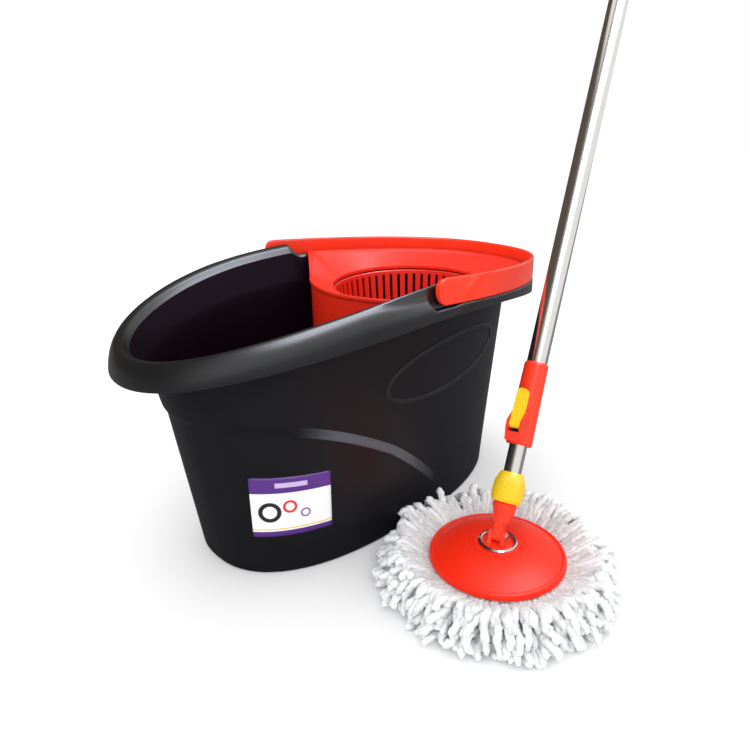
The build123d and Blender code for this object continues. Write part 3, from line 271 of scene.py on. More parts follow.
# %% Materials on the CAD nodes
finishes = {
    GUARD_RED: ["splash_guard"],
    BASKET_RED: ["spin_basket", "hub_cap"],
    HANDLE_RED: ["tilt_socket", "yoke", "lock_sleeve"],
    DISC_RED: ["disc_plate"],
    COLLAR_YELLOW: ["collar_nut"],
    YELLOW: ["lock_lever"],
    STEEL: ["inner_tube", "outer_tube"],
    CHROME: ["bearing_ring"],
    ZINC: ["spindle", "retaining_washer", "swivel_screw", "hinge_pin", "drive_rod", "cross_pin", "lever_pin"],
    NATURAL_WHITE: ["spindle_bush", "thrust_washer", "refill_ring", "clutch_cup", "drive_nut", "guide_bush",
                    "rod_plug"],
    RUBBER: ["lock_pad"],
    GRIP_GREY: ["grip", "hang_cap"],
}
for material, nodes in finishes.items():
    for node in nodes:
        mesh = bpy.data.objects[node].data
        mesh.materials.clear()
        mesh.materials.append(material)
print(sum(len(nodes) for nodes in finishes.values()), "nodes finished")

# %% [markdown]
# ## The bucket's smooth skin
# The frame's bucket is made of ruled strips, and the real one is moulded, with a round rolled rim. A
# subdivision surface would shrink it, so its skin is built again from the same outlines, in
# millimetres, with every corner rounded. Seen from above, the rim and the base are each two half
# super-ellipses that meet at the widest point: one for the wringer's end and one for pouring.

# %% Outlines of the bucket
RIM = {"spin": (293.0, 2.40), "pour": (222.0, 2.05), "half_width": 142.0}
BASE = {"spin": (232.0, 2.14), "pour": (161.0, 2.38), "half_width": 99.0}
BASE_CENTRE_X = 6.5
SKIRT_HEIGHT, SKIRT_CROWN_X, SKIRT_DROP = 245.5, 35.0, 32.0
CREST_HEIGHT, CREST_CROWN_X, CREST_DROP = 278.5, 64.0, 45.0
RIM_OVERHANG, NECK_DROP, WALL, FLOOR = 34.0, 10.0, 2.4, 3.0


def ease(start, end, value):
    """0 up to start and 1 from end on, with a smooth change between them."""
    share = min(1.0, max(0.0, (value - start) / (end - start)))
    return share * share * (3 - 2 * share)


def outline(shape, inset, angle):
    """Point of an outline at an angle, moved in by inset."""
    across, along = round(sin(angle), 12), round(cos(angle), 12)
    reach, fullness = shape["spin"] if along >= 0 else shape["pour"]
    return (copysign(abs(along) ** (2 / fullness), along) * (reach - inset),
            copysign(abs(across) ** (2 / fullness), across) * (shape["half_width"] - inset))


def arched(height, crown_x, drop, x):
    """Height of an edge that is highest at crown_x and falls by drop to the pouring end."""
    return height - drop * ((x - crown_x) / (-RIM["pour"][0] - crown_x)) ** 2


def wall_point(angle, z, inset):
    """Point of the tapered wall, which runs straight from the base to the neck under the rim."""
    share = z / (SKIRT_HEIGHT - NECK_DROP)
    base_x, base_y = outline(BASE, inset, angle)
    neck_x, neck_y = outline(RIM, RIM_OVERHANG + inset, angle)
    base_x += BASE_CENTRE_X
    return base_x + (neck_x - base_x) * share, base_y + (neck_y - base_y) * share


print("rim", RIM["spin"][0] + RIM["pour"][0], "by", 2 * RIM["half_width"], "mm")

# %% [markdown]
# Two more lines shape the bucket. Below a swept wave the wall steps in a little. At the wringer's
# end the rim sinks to a ledge on which the bail lies flat, and the ledge falls as the bail does.

# %% Swept wave and the bail's ledge
WAVE_HEIGHT, WAVE_START_X, WAVE_FALL, WAVE_DEPTH, WAVE_BAND = 169.0, -180.0, 0.00187, 2.8, 8.0
WAVE_FADE = (15.0, 75.0)
BAIL_PIVOT_X, _, BAIL_PIVOT_Z = joint_mm("bail_swing")
BAIL_HALF_HEIGHT, BAIL_FALL, BAIL_STUB_RADIUS = 13.0, 0.0866, 5.0
SHOULDER_DROP, SHOULDER_LENGTH = 9.0, 86.0
LEDGE_GAP, LEDGE_DIP, INNER_WALL_BELOW_BAIL = 0.3, 2.2, 17.0
LEDGE_STEP = (BAIL_PIVOT_X - BAIL_HALF_HEIGHT - 9, BAIL_PIVOT_X - BAIL_HALF_HEIGHT - 2.6)
INNER_STEP = (BAIL_PIVOT_X + BAIL_STUB_RADIUS + 4, BAIL_PIVOT_X + BAIL_STUB_RADIUS + 19)


def bail_drop(x):
    """How far the middle of the bail has fallen at x."""
    return BAIL_FALL * max(0.0, x - BAIL_PIVOT_X)


def ledge_z(x):
    """Height of the ledge, which dips a little round the bail's end."""
    dip = LEDGE_DIP * (1 - ease(BAIL_PIVOT_X + BAIL_STUB_RADIUS, BAIL_PIVOT_X + 2 * BAIL_HALF_HEIGHT, x))
    return BAIL_PIVOT_Z - BAIL_HALF_HEIGHT - LEDGE_GAP - dip - bail_drop(x)


def inner_wall_z(x):
    """Top of the wall inside the ledge."""
    return BAIL_PIVOT_Z + BAIL_HALF_HEIGHT - bail_drop(x) - INNER_WALL_BELOW_BAIL


def wave_z(x):
    """Height of the wave, a parabola that falls from the pouring end."""
    along = min(WAVE_FADE[1], max(WAVE_START_X, x)) - WAVE_START_X
    return WAVE_HEIGHT - WAVE_FALL * along ** 2


def wave_depth(x):
    """How far the wall steps in below the wave, which fades out towards the wringer."""
    return WAVE_DEPTH * (1 - ease(*WAVE_FADE, x))


print("ledge", round(ledge_z(BAIL_PIVOT_X), 1), "mm high at the bail's pivot")

# %% [markdown]
# A section is the chain of corners that one heading sees: up the outside, over the rim and down the
# inside. One section could be drawn and swept, but the rim changes where the bail lies, so each
# corner is a rule that takes the heading. A rule returns x, y and z, and how far the rim has turned
# from its roll into the ledge.

# %% Rules for a section's corners


def on_wall(z, inset, stepped=False):
    """Corner on the wall at one height; stepped puts it in by the wave's depth."""
    def place(angle):
        x, y = wall_point(angle, z, inset)
        if stepped:
            x, y = wall_point(angle, z, inset + wave_depth(x))
        return x, y, z, 0.0
    return place


def on_wave(rise, below=False, inset=0.0):
    """Corner that follows the wave, above or below its slope."""
    def place(angle):
        x, _ = wall_point(angle, WAVE_HEIGHT, 0)
        z = wave_z(x) + rise
        return *wall_point(angle, z, wave_depth(x) if below else inset), z, 0.0
    return place


def on_skirt(inset, rise):
    """Corner that follows the rim's lower edge."""
    def place(angle):
        x, y = outline(RIM, inset, angle)
        return x, y, arched(SKIRT_HEIGHT, SKIRT_CROWN_X, SKIRT_DROP, x) + rise, 0.0
    return place


def on_rim(roll_inset, roll_drop, bail_inset, bail_z, step, shoulder=0.0):
    """Corner that goes from the roll to the bail's side over step; shoulder sinks the roll before it."""
    def place(angle):
        x, _ = outline(RIM, roll_inset, angle)
        share = ease(*step, x)
        x, y = outline(RIM, roll_inset + (bail_inset - roll_inset) * share, angle)
        sink = shoulder * ease(step[1] - SHOULDER_LENGTH, step[1], x)
        roll_z = arched(CREST_HEIGHT, CREST_CROWN_X, CREST_DROP, x) - roll_drop - sink
        return x, y, roll_z * (1 - share) + bail_z(x) * share, share
    return place


print("the wave falls", round(WAVE_HEIGHT - wave_z(WAVE_FADE[1]), 1), "mm")

# %% [markdown]
# Each corner carries how far its round reaches along its edges, on the rolled side and on the bail's
# side. A round takes just under half of an edge at most, so that two never cross; WIDE asks for all
# of that, which makes the roll one soft curve. A Bevel modifier would round every edge by the same
# rule, so each corner is made a short quadratic curve here.

# %% Corners of a section
WIDE = 60.0
OUTSIDE = [
    (on_wall(0, 0, stepped=True), 4.0, 4.0),
    (on_wave(-WAVE_BAND / 2, below=True), 3.0, 3.0),
    (on_wave(WAVE_BAND / 2), 2.0, 2.0),
    (on_skirt(RIM_OVERHANG, -NECK_DROP), 4.0, 4.0),
    (on_skirt(RIM_OVERHANG - 5, 2), 4.0, 4.0),
    (on_rim(14.5, 7, 15.5, lambda x: inner_wall_z(x) - 4, INNER_STEP), WIDE, 2.0),
    (on_rim(9.5, 3, 11.2, lambda x: inner_wall_z(x) - WALL, INNER_STEP), WIDE, 2.0),
    (on_rim(5, 5.5, 10.9, lambda x: ledge_z(x) - WALL, LEDGE_STEP, SHOULDER_DROP), WIDE, 2.0),
    (on_rim(3.2, 12, 2.8, lambda x: ledge_z(x) - WALL, LEDGE_STEP, SHOULDER_DROP / 2), WIDE, 1.5),
    (on_skirt(WALL, 0), 0.8, 0.8),
    (on_skirt(0.1, 0), 0.9, 0.9),
    (on_rim(0.9, 15, 0.2, lambda x: ledge_z(x) - 1, LEDGE_STEP, SHOULDER_DROP / 2), WIDE, 0.8),
    (on_rim(3.4, 6.5, 1.2, ledge_z, LEDGE_STEP, SHOULDER_DROP), WIDE, 0.8),
    (on_rim(7.6, 0.6, 7.4, ledge_z, LEDGE_STEP, SHOULDER_DROP), WIDE, 0.8),
    (on_rim(9.5, -0.2, 8.4, lambda x: inner_wall_z(x) - 1, INNER_STEP), WIDE, 1.0),
    (on_rim(12, 0.3, 9.6, inner_wall_z, INNER_STEP), WIDE, 1.0),
    (on_rim(16, 2.2, 16.5, inner_wall_z, INNER_STEP), WIDE, 1.2),
    (on_rim(18, 6, 18, lambda x: inner_wall_z(x) - 2, INNER_STEP), 4.0, 1.2),
]
INSIDE = [
    (on_skirt(RIM_OVERHANG - 5 + WALL, 1), WIDE, WIDE),
    (on_skirt(RIM_OVERHANG + WALL + WAVE_DEPTH, -NECK_DROP - 2), WIDE, WIDE),
    (on_wave(WAVE_BAND / 2, inset=WALL + WAVE_DEPTH), WIDE, WIDE),
    (on_wall(FLOOR, WALL + WAVE_DEPTH), 8.0, 8.0),
]
CORNERS = OUTSIDE + INSIDE
ROUND_STEPS = 5
ROUND_LIMIT = 0.48
UNDERSIDE_SHARE = 0.8
WAVE_CORNERS = (1, 2)
RIM_FIRST_CORNER = 5
WALL_PART, INSIDE_PART, RIM_PART = range(3)


def section(angle):
    """Points of one section as (place in mm, share of wave gloss and painted highlight, part)."""
    corners = []
    for place, roll_round, bail_round in CORNERS:
        x, y, z, share = place(angle)
        corners.append((Vector((x, y, z)), roll_round + (bail_round - roll_round) * share))
    floor_middle = Vector((BASE_CENTRE_X, 0, 0))
    chain = [(floor_middle.lerp(corners[0][0], UNDERSIDE_SHARE), 0.0, WALL_PART)]
    ends = [floor_middle] + [corner for corner, _ in corners] + [floor_middle + Vector((0, 0, FLOOR))]
    for index, (corner, reach) in enumerate(corners):
        before, after = ends[index] - corner, ends[index + 2] - corner
        start = corner + before.normalized() * min(reach, ROUND_LIMIT * before.length)
        end = corner + after.normalized() * min(reach, ROUND_LIMIT * after.length)
        for step in range(ROUND_STEPS + 1):
            below_slope = index == WAVE_CORNERS[0] and step > 0
            above_slope = index == WAVE_CORNERS[1] and step < ROUND_STEPS
            share = step / ROUND_STEPS
            part = WALL_PART if index < RIM_FIRST_CORNER else RIM_PART
            if index + share >= len(OUTSIDE):
                part = INSIDE_PART
            point = start.lerp(corner, share).lerp(corner.lerp(end, share), share)
            chain.append((point, 1.0 if below_slope or above_slope else 0.0, part))
    return chain


sample = section(0.0)
print(len(CORNERS), "corners make", len(sample), "points a section")

# %% [markdown]
# The sections stand closest where the rim steps down to the bail's ledge, which is a tight corner.
# Even steps as small as that would take four times the faces.

# %% Headings of the sections
COARSE_STEP, FINE_STEP = 1.6, 0.35
LEDGE_COMES, LEDGE_PASSED = (58, 72), (87, 101)
half_turn = [0.0]
while half_turn[-1] < 180:
    near_ledge = ease(*LEDGE_COMES, half_turn[-1]) * (1 - ease(*LEDGE_PASSED, half_turn[-1]))
    half_turn.append(half_turn[-1] + COARSE_STEP + (FINE_STEP - COARSE_STEP) * near_ledge)
half_turn = [radians(angle * 180 / half_turn[-1]) for angle in half_turn]
headings = half_turn[:-1] + [tau - angle for angle in reversed(half_turn[1:])]
print(len(headings), "headings")

# %% [markdown]
# The sections become rings of points, and faces are laid between neighbouring rings. Bridge Edge
# Loops could lay them too, but a loop also gives each face its part: wall, inside or rim. An
# attribute marks the slope of the wave, which is glossier than the rest and carries a painted
# highlight, a lighter grey in its colour.

# %% Skin
# Where the wave's gloss and its painted highlight, a lighter grey, fade in along x.
GLOSS_AND_HIGHLIGHT_RAMP = (-105.0, -55.0)


def quads(shape, rings, closed=True, material=0):
    """Faces between neighbouring rings of vertices, or between open rows."""
    made = []
    for ring, following in zip(rings, rings[1:]):
        count = len(ring)
        for index in range(count if closed else count - 1):
            face = shape.faces.new((ring[index], ring[(index + 1) % count],
                                    following[(index + 1) % count], following[index]))
            face.material_index = material
            made.append(face)
    return made


skin = bmesh.new()
gloss_and_highlight_layer = skin.verts.layers.float.new("gloss_and_painted_highlight")
columns = [section(angle) for angle in headings]
rings = []
for row in range(len(sample)):
    rings.append([])
    for column in columns:
        point, gloss_and_painted_highlight, _ = column[row]
        vert = skin.verts.new(point * MM)
        # Share of gloss and painted highlight: full on the wave's slope, faded in along x and with the wave's
        # depth.
        vert[gloss_and_highlight_layer] = gloss_and_painted_highlight * ease(*GLOSS_AND_HIGHLIGHT_RAMP, point.x) * (wave_depth(point.x) / WAVE_DEPTH) ** 0.5
        rings[-1].append(vert)
for row in range(len(rings) - 1):
    quads(skin, rings[row:row + 2], material=sample[row][2])
print("skin", len(skin.faces), "faces")

# %% [markdown]
# The basket's spindle stands in a pillar, a cone that rises from the bucket's floor and is hollow
# below, as moulded parts are. A Boolean could join the cone to the floor, but it leaves slivers. Here
# the cone starts as rings of its own, and the floor and the underside are filled up to them.

# %% Pillar and floor
PILLAR_X = joint_mm("basket_spin")[0]
PILLAR_TOP_Z, PILLAR_TOP_RADIUS, PILLAR_FOOT_RADIUS = 112.0, 15.0, 34.0
HOLLOW_TOP_Z, HOLLOW_TOP_RADIUS, HOLLOW_FOOT_RADIUS = 82.0, 17.0, 31.0
SPINDLE_RADIUS = 4.1
LATHE_STEPS = 64
# Radius and height, with the foot and the top edge eased.
PILLAR_SECTION = (
    (PILLAR_FOOT_RADIUS + 3, FLOOR), (PILLAR_FOOT_RADIUS - 1, FLOOR + 5),
    (PILLAR_TOP_RADIUS + 0.4, PILLAR_TOP_Z - 2), (PILLAR_TOP_RADIUS - 0.6, PILLAR_TOP_Z),
    (SPINDLE_RADIUS, PILLAR_TOP_Z))
HOLLOW_SECTION = ((HOLLOW_FOOT_RADIUS, 0), (HOLLOW_TOP_RADIUS, HOLLOW_TOP_Z))


def circle(shape, radius, z):
    """Ring of vertices round the pillar's axis, in mm."""
    turns = [tau * step / LATHE_STEPS for step in range(LATHE_STEPS)]
    return [shape.verts.new(((PILLAR_X + radius * cos(turn)) * MM, radius * sin(turn) * MM, z * MM))
            for turn in turns]


hollow = [circle(skin, radius, z) for radius, z in HOLLOW_SECTION]
quads(skin, hollow)
skin.faces.new(hollow[1])
pillar = [circle(skin, radius, z) for radius, z in PILLAR_SECTION]
quads(skin, pillar, material=INSIDE_PART)
for outer, hole, part in ((rings[0], hollow[0], WALL_PART), (rings[-1], pillar[0], INSIDE_PART)):
    borders = []
    for loop in (outer, hole):
        borders += [skin.edges.get((first, second)) or skin.edges.new((first, second))
                    for first, second in zip(loop, loop[1:] + loop[:1])]
    filled = bmesh.ops.triangle_fill(skin, edges=borders, use_beauty=True)
    for item in filled["geom"]:
        if isinstance(item, bmesh.types.BMFace):
            item.material_index = part
bmesh.ops.recalc_face_normals(skin, faces=skin.faces)
print("skin with floor and pillar", len(skin.faces), "faces")

# %% [markdown]
# The near wall carries a plain raised oval, a thin bead that follows the wall. A Shrinkwrap modifier
# could lay a flat one there. Rays against the skin do the same, and leave its height above the wall
# to be set point by point.

# %% Oval bead
OVAL_X, OVAL_Z, OVAL_TILT, OVAL_HEIGHT = 87.0, 179.5, radians(4.0), 1.0
OVAL_LONG, OVAL_TALL, OVAL_BAND, OVAL_STEPS = 95.0, 30.0, 5.0, 144
# The bead gets a tenth of the wave's gloss and painted highlight.
BEAD_GLOSS_AND_HIGHLIGHT = 0.1
# Share of the way across the band, and share of the bead's height there.
BEAD = ((0.0, -0.5), (0.02, 0.55), (0.09, 0.9), (0.22, 1.0),
        (0.78, 1.0), (0.91, 0.9), (0.98, 0.55), (1.0, -0.5))
RAY_START_Y = -400
wall_rays = BVHTree.FromBMesh(skin)


def on_near_wall(x, z, height):
    """Point on the near wall's outside at x and z in mm, lifted off it by height."""
    hit, facing, _, _ = wall_rays.ray_cast(Vector((x, RAY_START_Y, z)) * MM, Vector((0, 1, 0)))
    return hit + facing * (height * MM if facing.y < 0 else -height * MM)


bead_rings = []
for across, height in BEAD:
    long, tall = OVAL_LONG - OVAL_BAND * across, OVAL_TALL - OVAL_BAND * across
    ring = []
    for step in range(OVAL_STEPS):
        angle = tau * step / OVAL_STEPS
        x = OVAL_X + long * cos(angle) * cos(OVAL_TILT) - tall * sin(angle) * sin(OVAL_TILT)
        z = OVAL_Z + long * cos(angle) * sin(OVAL_TILT) + tall * sin(angle) * cos(OVAL_TILT)
        vert = skin.verts.new(on_near_wall(x, z, height * OVAL_HEIGHT))
        vert[gloss_and_highlight_layer] = BEAD_GLOSS_AND_HIGHLIGHT
        ring.append(vert)
    bead_rings.append(ring)
bead_faces = quads(skin, bead_rings)
bmesh.ops.recalc_face_normals(skin, faces=bead_faces)
if sum(face.normal.y for face in bead_faces) > 0:
    bmesh.ops.reverse_faces(skin, faces=bead_faces)
for face in skin.faces:
    face.smooth = True
print("oval bead", len(bead_faces), "faces")

# %% [markdown]
# The bucket is moulded from black polypropylene with a satin grain. Its wave and its oval are
# polished, so a share of the polished look is mixed in where the skin's attribute says so: a lower
# roughness, and a painted highlight, a lighter grey in the colour. The rim is smoother than the
# wall. The inside is a copy with painted shade, darker and duller, since little light comes back
# out of it. Each could be a piece of its own; three slots on one mesh leave no seams.

# %% Bucket materials and piece
POLISHED_ROUGHNESS = 0.2
# Satin black: soft, grey highlights.
BLACK = plastic("satin black polypropylene", "#0E0C10", "#141217", 0.45, grain_mm=0.9,
                grain_height_mm=0.02, specular=0.3)
# The rolled rim: brighter highlights that run along it.
BLACK_RIM = plastic("smooth black polypropylene", "#0E0E12", "#131418", 0.31, grain_mm=0.9,
                    grain_height_mm=0.02, specular=0.8)
# The inside: painted shade, the same black with nearly no highlight and a faint purple tinge.
BLACK_INSIDE_PAINTED_SHADE = plastic("black polypropylene with painted shade", "#110510", "#160814", 0.6, grain_mm=0.9,
                   grain_height_mm=0.02, specular=0.03)
black_nodes = BLACK.node_tree
black_shader = black_nodes.nodes["Principled BSDF"]
gloss_and_painted_highlight = add(black_nodes, ATTRIBUTE, out="Fac", attribute_name="gloss_and_painted_highlight")
satin = black_shader.inputs["Roughness"].links[0].from_socket
black = black_shader.inputs["Base Color"].links[0].from_socket
# Where the skin's attribute says so, the roughness drops and a lighter grey is mixed into the colour: a
# painted highlight.
connect(black_shader, {
    "Roughness": add(black_nodes, MIX, {"Factor": gloss_and_painted_highlight, "A": satin, "B": POLISHED_ROUGHNESS}),
    "Base Color": add(black_nodes, MIX, {0: gloss_and_painted_highlight, 6: black, 7: linear("#52565E")}, **OF_COLOURS)})


def as_piece(shape, name, *materials):
    """Turns a bmesh into an object with these materials, in the order of their slots."""
    mesh = bpy.data.meshes.new(name)
    shape.to_mesh(mesh)
    shape.free()
    for material in materials:
        mesh.materials.append(material)
    piece = bpy.data.objects.new(name, mesh)
    bpy.context.collection.objects.link(piece)
    print(name, sum(len(face.vertices) - 2 for face in mesh.polygons), "triangles")
    return piece


bucket_skin = as_piece(skin, "bucket_skin", BLACK, BLACK_INSIDE_PAINTED_SHADE, BLACK_RIM)
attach(bucket_skin, "bucket")
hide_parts("bucket_body")

# %% [markdown]
# ## Bail
# The bail is a flat moulded band that follows the rim round the wringer's end. A curve with a bevel
# could make it, but its height changes towards its ends: a half circle below and a smaller round
# above. So it is swept here ring by ring, with rounded edges that catch the light.

# %% Outline of the bail
BAIL_INSET, BAIL_THICKNESS, BAIL_CORNER = 0.6, 5.2, 8.0
BAIL_END_STEPS, BAIL_ARM_STEPS = 24, 40
BAIL_END_GAP = 0.1


def bail_limits(x):
    """Bottom and top of the band at x, in mm."""
    middle = BAIL_PIVOT_Z - bail_drop(x)
    low, high = middle - BAIL_HALF_HEIGHT, middle + BAIL_HALF_HEIGHT
    if x < BAIL_PIVOT_X:
        low = BAIL_PIVOT_Z - max(0.0, BAIL_HALF_HEIGHT ** 2 - (BAIL_PIVOT_X - x) ** 2) ** 0.5
    corner_x = BAIL_PIVOT_X - BAIL_HALF_HEIGHT + BAIL_CORNER
    if x < corner_x:
        high += max(0.0, BAIL_CORNER ** 2 - (corner_x - x) ** 2) ** 0.5 - BAIL_CORNER
    return low, high


def heading_at(x):
    """The angle at which the rim's outline has this x."""
    reach, fullness = RIM["spin"]
    return acos((x / reach) ** (fullness / 2))


end_x = BAIL_PIVOT_X - BAIL_HALF_HEIGHT + BAIL_END_GAP
arm_headings = [heading_at(end_x + 2 * BAIL_HALF_HEIGHT * (1 - cos(pi / 2 * step / BAIL_END_STEPS)))
                for step in range(BAIL_END_STEPS)]
last = heading_at(end_x + 2 * BAIL_HALF_HEIGHT)
arm_headings += [last * (1 - step / BAIL_ARM_STEPS) for step in range(BAIL_ARM_STEPS)]
stations = arm_headings + [0.0] + [-angle for angle in reversed(arm_headings)]
print(len(stations), "stations along the bail")

# %% [markdown]
# Each ring goes round the band's section, with a quarter round at each corner. The first and the
# last ring are drawn in a little, which softens the ends. A short stub on each arm reaches into the
# rim, and the bail turns on the two stubs.

# %% Bail band
BAIL_EDGE, EDGE_STEPS, LEAST_EDGES = 1.9, 5, 2.1
END_DRAWN_IN = 0.6
STUB_INSET, STUB_STEPS, STUB_OVERLAP = 8.2, 32, 1
# Inner side or not, top or not, and the first quarter of the turn.
BAND_CORNERS = ((1, 1, 0), (0, 1, 1), (0, 0, 2), (1, 0, 3))
band = bmesh.new()
band_rings = []
for order, angle in enumerate(stations):
    low, high = bail_limits(outline(RIM, BAIL_INSET, angle)[0])
    edge = min(BAIL_EDGE, (high - low) / LEAST_EDGES)
    reach = edge - END_DRAWN_IN if order in (0, len(stations) - 1) else edge
    ring = []
    for inner, upper, quarter in BAND_CORNERS:
        inset_middle = BAIL_INSET + (BAIL_THICKNESS - edge if inner else edge)
        z_middle = high - edge if upper else low + edge
        for step in range(EDGE_STEPS):
            turn = pi / 2 * (quarter + step / (EDGE_STEPS - 1))
            x, y = outline(RIM, inset_middle + reach * cos(turn), angle)
            ring.append(band.verts.new(Vector((x, y, z_middle + reach * sin(turn))) * MM))
    band_rings.append(ring)
quads(band, band_rings)
band.faces.new(band_rings[0])
band.faces.new(band_rings[-1])
for way in (-1, 1):
    stub = []
    for inset in (BAIL_INSET + BAIL_THICKNESS - STUB_OVERLAP, STUB_INSET):
        y = way * outline(RIM, inset, heading_at(BAIL_PIVOT_X))[1]
        ring = []
        for step in range(STUB_STEPS):
            turn = tau * step / STUB_STEPS
            x, z = BAIL_PIVOT_X + BAIL_STUB_RADIUS * cos(turn), BAIL_PIVOT_Z + BAIL_STUB_RADIUS * sin(turn)
            ring.append(band.verts.new(Vector((x, y, z)) * MM))
        stub.append(ring)
    quads(band, stub)
    band.faces.new(stub[0])
    band.faces.new(stub[1])
bmesh.ops.recalc_face_normals(band, faces=band.faces)
for face in band.faces:
    face.smooth = len(face.verts) == 4
bail_band = as_piece(band, "bail_band", HANDLE_RED)
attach(bail_band, "bail")
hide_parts("bail_handle")

# %% [markdown]
# ## Yarn
# The mop's head is a ring of twisted microfibre strands. Hair could make them, but it has no surface
# to export, so they are grown by one Geometry Nodes tree. It puts curves round the disc, gives each
# its own turn and length, lets noise bend them, and sweeps a twisted three-ply profile along them.
# Four layers with different arches lie on each other, as real yarn does: the upper one springs up
# from under the disc and droops, and the lowest one lies along the floor.

# %% A tree that grows one layer
POSITION, SET_POSITION = "GeometryNodeInputPosition", "GeometryNodeSetPosition"
SPLINE, RANDOM = "GeometryNodeSplineParameter", "FunctionNodeRandomValue"
REALIZE = "GeometryNodeRealizeInstances"
LAYER_INPUTS = {
    "Strands": "Int", "Samples": "Int", "Seed": "Int", "Tuft Size": "Int",
    "Root Radius": "Float", "Root Height": "Float", "Arch Height": "Float", "Reach": "Float",
    "Tip Height": "Float", "Thickness": "Float", "Twist Pitch": "Float", "Wander": "Float",
    "Disc Radius": "Float", "Disc Height": "Float",
    "Material": "Material",
}
grower = bpy.data.node_groups.new("grow yarn layer", "GeometryNodeTree")
for name, kind in LAYER_INPUTS.items():
    grower.interface.new_socket(name, in_out="INPUT", socket_type="NodeSocket" + kind)
grower.interface.new_socket("Geometry", in_out="OUTPUT", socket_type="NodeSocketGeometry")
given = add(grower, "NodeGroupInput", out=None).outputs
print("layer inputs", list(LAYER_INPUTS))

# %% [markdown]
# Each strand starts as the same Bezier arch in the XZ plane. At its middle a Bezier curve has an
# eighth of each end and three eighths of each handle, which says how high the two handles have to be
# for the arch to reach its height. A spline drawn by hand would have to be drawn again for each layer.

# %% The arch
END_WEIGHT, HANDLE_WEIGHT = 1 / 8, 3 / 8
RISE_SHARE, FALL_SHARE = 0.5, 0.95
both_ends = add(grower, MATH, (given["Root Height"], given["Tip Height"]), operation="ADD")
from_ends = add(grower, MATH, (both_ends, END_WEIGHT), operation="MULTIPLY")
from_handles = add(grower, MATH, (given["Arch Height"], from_ends), operation="SUBTRACT")
handle_z = add(grower, MATH, (from_handles, 2 * HANDLE_WEIGHT), operation="DIVIDE")
span = add(grower, MATH, (given["Reach"], given["Root Radius"]), operation="SUBTRACT")
rise_x = add(grower, MATH, (span, RISE_SHARE, given["Root Radius"]), operation="MULTIPLY_ADD")
fall_x = add(grower, MATH, (span, FALL_SHARE, given["Root Radius"]), operation="MULTIPLY_ADD")
arch = add(grower, "GeometryNodeCurvePrimitiveBezierSegment", {
    "Resolution": given["Samples"],
    "Start": add(grower, COMBINE, (given["Root Radius"], 0.0, given["Root Height"])),
    "Start Handle": add(grower, COMBINE, (rise_x, 0.0, handle_z)),
    "End Handle": add(grower, COMBINE, (fall_x, 0.0, handle_z)),
    "End": add(grower, COMBINE, (given["Reach"], 0.0, given["Tip Height"]))})
print("arch", len(grower.nodes), "nodes so far")

# %% [markdown]
# Points at the centre carry the copies, each turned to its own heading and scaled a little. An array
# would make them all alike. The copies are made real at once, because noise has to bend each one by
# itself. "strand" keeps them apart in that noise: strands of one tuft stay close, tufts don't.

# %% Copies round the disc
TUFTS_APART, STRANDS_APART = 0.83, 0.045
SHORTEST, LOWEST = 0.88, 0.82
# Random Value's sockets 2 and 3 are the lowest and highest number, and its output 1 is the number.
number_between = {"out": 1, "data_type": "FLOAT"}
index = add(grower, "GeometryNodeInputIndex")
points = add(grower, "GeometryNodePoints", {"Count": given["Strands"]})
tuft = add(grower, MATH, (index, given["Tuft Size"]), operation="DIVIDE")
tuft = add(grower, MATH, (tuft,), operation="FLOOR")
in_tuft = add(grower, MATH, (index, STRANDS_APART), operation="MULTIPLY")
strand = add(grower, MATH, (tuft, TUFTS_APART, in_tuft), operation="MULTIPLY_ADD")
points = add(grower, "GeometryNodeStoreNamedAttribute",
             {"Geometry": points, "Name": "strand", "Value": strand}, data_type="FLOAT")
sideways = add(grower, RANDOM, {2: -0.5, 3: 0.5, "Seed": given["Seed"]}, **number_between)
heading = add(grower, MATH, (index, sideways), operation="ADD")
heading = add(grower, MATH, (heading, given["Strands"]), operation="DIVIDE")
heading = add(grower, MATH, (heading, tau), operation="MULTIPLY")
length_seed = add(grower, MATH, (given["Seed"], 1), operation="ADD")
height_seed = add(grower, MATH, (given["Seed"], 2), operation="ADD")
stretch = add(grower, RANDOM, {2: SHORTEST, 3: 1.0, "Seed": length_seed}, **number_between)
lift = add(grower, RANDOM, {2: LOWEST, 3: 1.0, "Seed": height_seed}, **number_between)
copies = add(grower, "GeometryNodeInstanceOnPoints", {
    "Points": points, "Instance": arch, "Rotation": add(grower, COMBINE, (0.0, 0.0, heading)),
    "Scale": add(grower, COMBINE, (stretch, stretch, lift))})
curves = add(grower, REALIZE, (copies,))
curves = add(grower, "GeometryNodeResampleCurve", {"Curve": curves, "Count": given["Samples"]})
print("copies", len(grower.nodes), "nodes so far")

# %% [markdown]
# Real strands lie loosely, more so towards their free tips. Each could be bent by hand. Noise in
# four dimensions, with the strand's own number as the fourth, bends them all, each in its own way.

# %% Wander
BENDS_PER_METRE, BEND_DETAIL = 28.0, 3.0
TIP_LOOSENESS = 0.8
along = add(grower, SPLINE, out=None).outputs
drift = add(grower, NOISE, {
    "Vector": add(grower, POSITION), "Scale": BENDS_PER_METRE, "Detail": BEND_DETAIL,
    "W": add(grower, "GeometryNodeInputNamedAttribute", {"Name": "strand"}, data_type="FLOAT")},
    out="Color", noise_dimensions="4D")
drift = add(grower, VECTOR_MATH, (drift, (0.5, 0.5, 0.5)), operation="SUBTRACT")
looseness = add(grower, MATH, (along["Factor"], TIP_LOOSENESS), operation="POWER")
swing = add(grower, MATH, (given["Wander"], looseness), operation="MULTIPLY")
drift = add(grower, VECTOR_MATH, {0: drift, "Scale": swing}, operation="SCALE")
curves = add(grower, SET_POSITION, {"Geometry": curves, "Offset": drift})
print("wander", len(grower.nodes), "nodes so far")

# %% [markdown]
# A last step keeps every point inside the layer's reach, so that the mop never brushes the bucket as
# it turns, under the disc, and above the floor. Physics could settle the strands; limits are exact,
# and the same in each run.

# %% Limits
DISC_EDGE_CLIMB = 0.6
